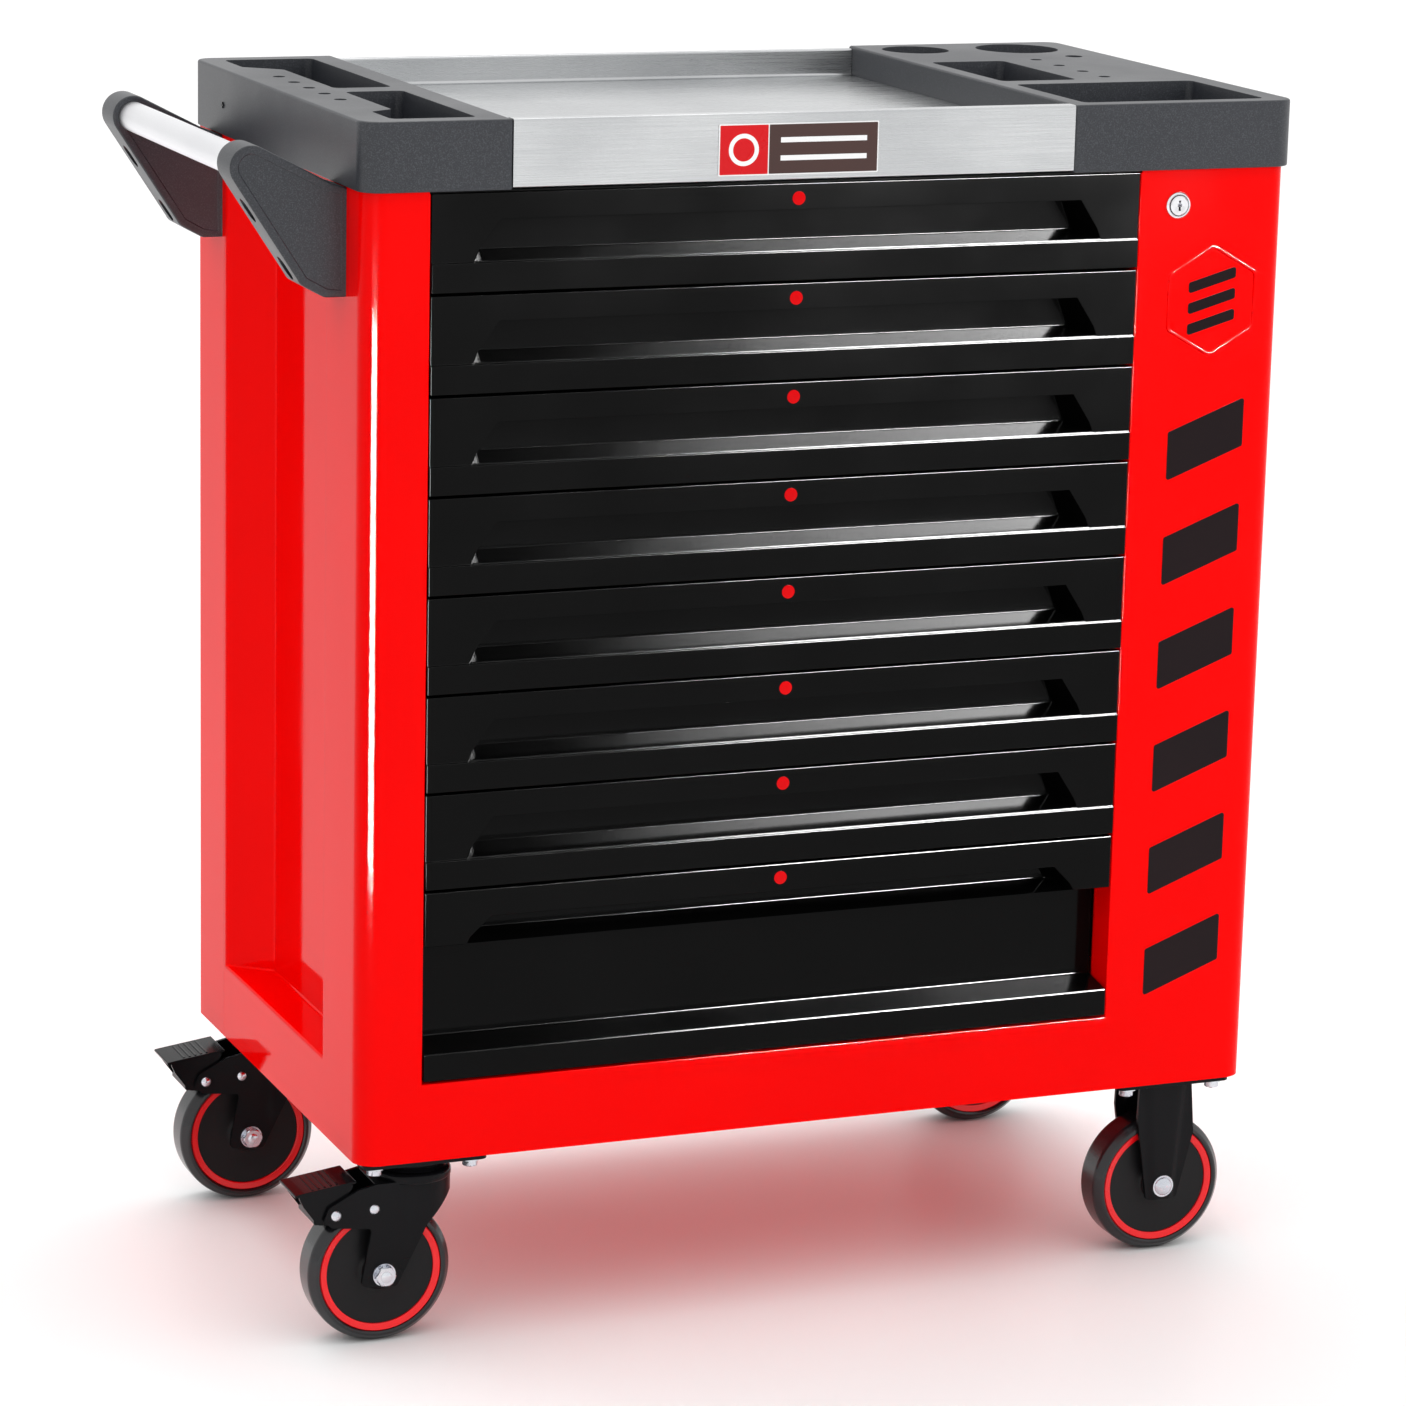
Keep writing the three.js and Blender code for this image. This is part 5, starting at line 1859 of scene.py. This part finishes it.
@dataclass
class RigidCaster(Caster):
    """A caster that does not turn."""

    leg_bottom: float = 47.0
    leg_height: float = 104.0
    channel_depth: float = 1.9
    channel_start: float = 0.55
    channel_slope: float = 0.42

    def _bulged(self, x: float, z: float) -> float:
        """How far the leg's edges are pressed in, beside a channel that stands out."""
        rise = max(0.0, (z - self.leg_bottom) / self.leg_height)
        half = 12 + 11 * rise
        edge = min(max((abs(x) - half * self.channel_start) / (half * self.channel_slope), 0.0), 1.0)
        return self.channel_depth * (3 * edge**2 - 2 * edge**3)

    def fork(self) -> None:
        """The plate with both legs."""
        at = self.axle_at
        under = self.plate_top - self.plate_thick
        outline = rounded(
            [
                (-24, under + 0.5, 0),
                (-25, 120, 10),
                (-14, self.leg_bottom, 3),
                (14, self.leg_bottom, 3),
                (28, 104, 12),
                (24, under + 0.5, 0),
            ],
            5,
        )
        legs = [self.leg(outline, sign, self._bulged) for sign in (-1, 1)]
        saddle = prism(rounded(rectangle(-30, 30, -24, 24, 8.0)), Axis.Z, under - 3, under + 0.2)
        soften(saddle, 0.8, 2)
        whole = merged(saddle, *legs)
        bmesh.ops.translate(whole, verts=whole.verts, vec=(at.x, at.y, 0))
        self.plate(at.x, at.y, f"caster_fork_{self.label}", [whole])

    def build(self) -> None:
        """Builds the whole caster."""
        self.fork()
        self.axle("cabinet", True)
        self.wheel()


# ---------------------------------------------------------------- studio


@dataclass
class Studio:
    """A pale floor, soft lights and the camera."""

    camera_at: Corner = (-1.50734, -3.75221, 1.42227)
    azimuth: float = 22.23
    elevation: float = 13.43
    roll: float = -1.34
    focal_length: float = 127.43
    sensor: float = 36.0
    sky_low: float = 0.12
    sky_high: float = 1.8
    sky_glossy: float = 1.0
    floor_ior: float = 1.28
    floor_reach: float = 12.0
    floor_colour: Colour = (0.93, 0.93, 0.93)
    lamps: list[tuple[Object, Reach]] = field(default_factory=list)

    def camera(self) -> None:
        """The camera, looking along its azimuth and down by its elevation."""
        az, el, roll = (math.radians(a) for a in (self.azimuth, self.elevation, self.roll))
        forward = Vector((math.sin(az) * math.cos(el), math.cos(az) * math.cos(el), -math.sin(el)))
        level = Vector((math.cos(az), -math.sin(az), 0))
        down = forward.cross(level)
        right = math.cos(roll) * level + math.sin(roll) * down
        up = math.sin(roll) * level - math.cos(roll) * down
        data = bpy.data.cameras.new("camera")
        data.lens = self.focal_length
        data.sensor_width = self.sensor
        camera = bpy.data.objects.new("camera", data)
        turn = Matrix((right, up, -forward)).transposed().to_4x4()
        camera.matrix_world = Matrix.Translation(self.camera_at) @ turn
        bpy.context.scene.collection.objects.link(camera)
        bpy.context.scene.camera = camera

    def floor(self) -> None:
        """The pale glossy floor."""
        bm = bmesh.new()
        bmesh.ops.create_grid(bm, x_segments=1, y_segments=1, size=self.floor_reach)
        mesh = bpy.data.meshes.new("floor")
        bm.to_mesh(mesh)
        bm.free()
        pale = self.floor_colour
        material = Finish("studio_floor", "badge", pale, pale, 0.34, 0.38, specular=0.15).material()
        material.node_tree.nodes["Principled BSDF"].inputs["IOR"].default_value = self.floor_ior
        mesh.materials.append(material)
        floor = bpy.data.objects.new("floor", mesh)
        bpy.context.scene.collection.objects.link(floor)

    def softbox(
        self,
        name: str,
        spot: Corner,
        aim: Corner,
        size: Point2,
        radiance: float,
        reach: Reach = Reach.EVERYTHING,
    ) -> None:
        """A rectangular light. The ones that reach only gloss add nothing to a surface's own colour.

        Args:
            name: Its name.
            spot: Where it hangs, in metres.
            aim: The point that it faces.
            size: Its width and height.
            radiance: How bright its face is.
            reach: What it lights.
        """
        data = bpy.data.lights.new(name, "AREA")
        data.shape = "RECTANGLE"
        data.size, data.size_y = size
        data.energy = radiance * size[0] * size[1] * math.pi
        lamp = bpy.data.objects.new(name, data)
        lamp.location = spot
        lamp.rotation_euler = (Vector(aim) - Vector(spot)).to_track_quat("-Z", "Y").to_euler()
        lamp.visible_camera = False
        lamp.visible_diffuse = reach in (Reach.EVERYTHING, Reach.CHEST)
        lamp.visible_glossy = reach is not Reach.CHEST
        bpy.context.scene.collection.objects.link(lamp)
        self.lamps.append((lamp, reach))

    def surroundings(self) -> None:
        """A surround that lights from above more than from low down, and looks plain white."""
        world = bpy.data.worlds.new("studio")
        bpy.context.scene.world = world
        world.use_nodes = True
        tree = world.node_tree
        place = tree.nodes.new("ShaderNodeTexCoord")
        height = tree.nodes.new("ShaderNodeSeparateXYZ")
        sky = tree.nodes.new("ShaderNodeMapRange")
        sky.inputs["To Min"].default_value = self.sky_low
        sky.inputs["To Max"].default_value = self.sky_high
        tree.links.new(place.outputs["Generated"], height.inputs["Vector"])
        tree.links.new(height.outputs["Z"], sky.inputs["Value"])
        light = tree.nodes.new("ShaderNodeLightPath")
        shade = tree.nodes["Background"]
        source = sky.outputs["Result"]
        for seen_by, strength in (("Is Glossy Ray", self.sky_glossy), ("Is Camera Ray", 1.0)):
            mix = tree.nodes.new("ShaderNodeMix")
            mix.data_type = "FLOAT"
            mix.inputs["B"].default_value = strength
            tree.links.new(light.outputs[seen_by], mix.inputs["Factor"])
            tree.links.new(source, mix.inputs["A"])
            source = mix.outputs["Result"]
        tree.links.new(source, shade.inputs["Strength"])
        shade.inputs["Color"].default_value = (1, 1, 1, 1)

    def build(self) -> None:
        """Sets the studio up."""
        self.camera()
        self.floor()
        self.surroundings()
        self.softbox("overhead", (-0.2, 0.9, 3.0), (0, 0.1, 0.5), (2.6, 1.0), 2.0)
        self.softbox("front_fill", (1.6, -4.2, 2.2), (0, 0, 0.5), (2.4, 2.4), 3.6, Reach.CHEST)
        self.softbox("edge_panel", (1.6, -0.3, 3.0), (0.2, 0.1, 0.5), (1.4, 1.0), 420, Reach.PAINT_GLOSS)
        self.softbox("front_panel", (1.7, -2.55, 1.45), (0.2, 0, 0.5), (1.4, 1.1), 900, Reach.PAINT_GLOSS)
        self.softbox("ledge_panel", (1.2, -1.7, 2.4), (0.1, 0, 0.25), (0.5, 0.4), 420, Reach.DEEP_DRAWER)
        self.softbox("post_panel", (-1.28, -1.26, 0.3), (-0.37, 0, 0.5), (0.7, 0.6), 260, Reach.PAINT_GLOSS)
        bpy.context.scene.view_settings.view_transform = "Standard"

    def link_lights(self) -> None:
        """Keeps each light that doesn't reach everything to the pieces that it is for."""
        paints = {RED_PAINT.material(), BLACK_PAINT.material()}
        chest = [o for o in bpy.context.scene.objects if o.type == "MESH" and o.name != "floor"]
        skins = [piece for piece in chest if paints & set(piece.data.materials)]
        deep = [piece for piece in skins if piece.name.startswith("drawer_front_8")]
        for reach, lit in ((Reach.CHEST, chest), (Reach.PAINT_GLOSS, skins), (Reach.DEEP_DRAWER, deep)):
            group = bpy.data.collections.new(f"lit_by_{reach.value}")
            for piece in lit:
                group.objects.link(piece)
            for lamp in (lamp for lamp, its_reach in self.lamps if its_reach is reach):
                lamp.light_linking.receiver_collection = group


# ---------------------------------------------------------------- main


def main() -> None:
    """Builds the chest round its frame, then the studio."""
    studio = Studio()
    studio.build()
    assemblies = [Cabinet(), DrawerStack(), Lock(), PostGraphics(), Top(), PushHandle()]
    for row in Row:
        assemblies.append(SwivelCaster(row, Side.LEFT))
        assemblies.append(RigidCaster(row, Side.RIGHT))
    for assembly in assemblies:
        assembly.build()
        LOG.info("%s done", type(assembly).__name__)
    studio.link_lights()


if __name__ == "__main__":
    main()
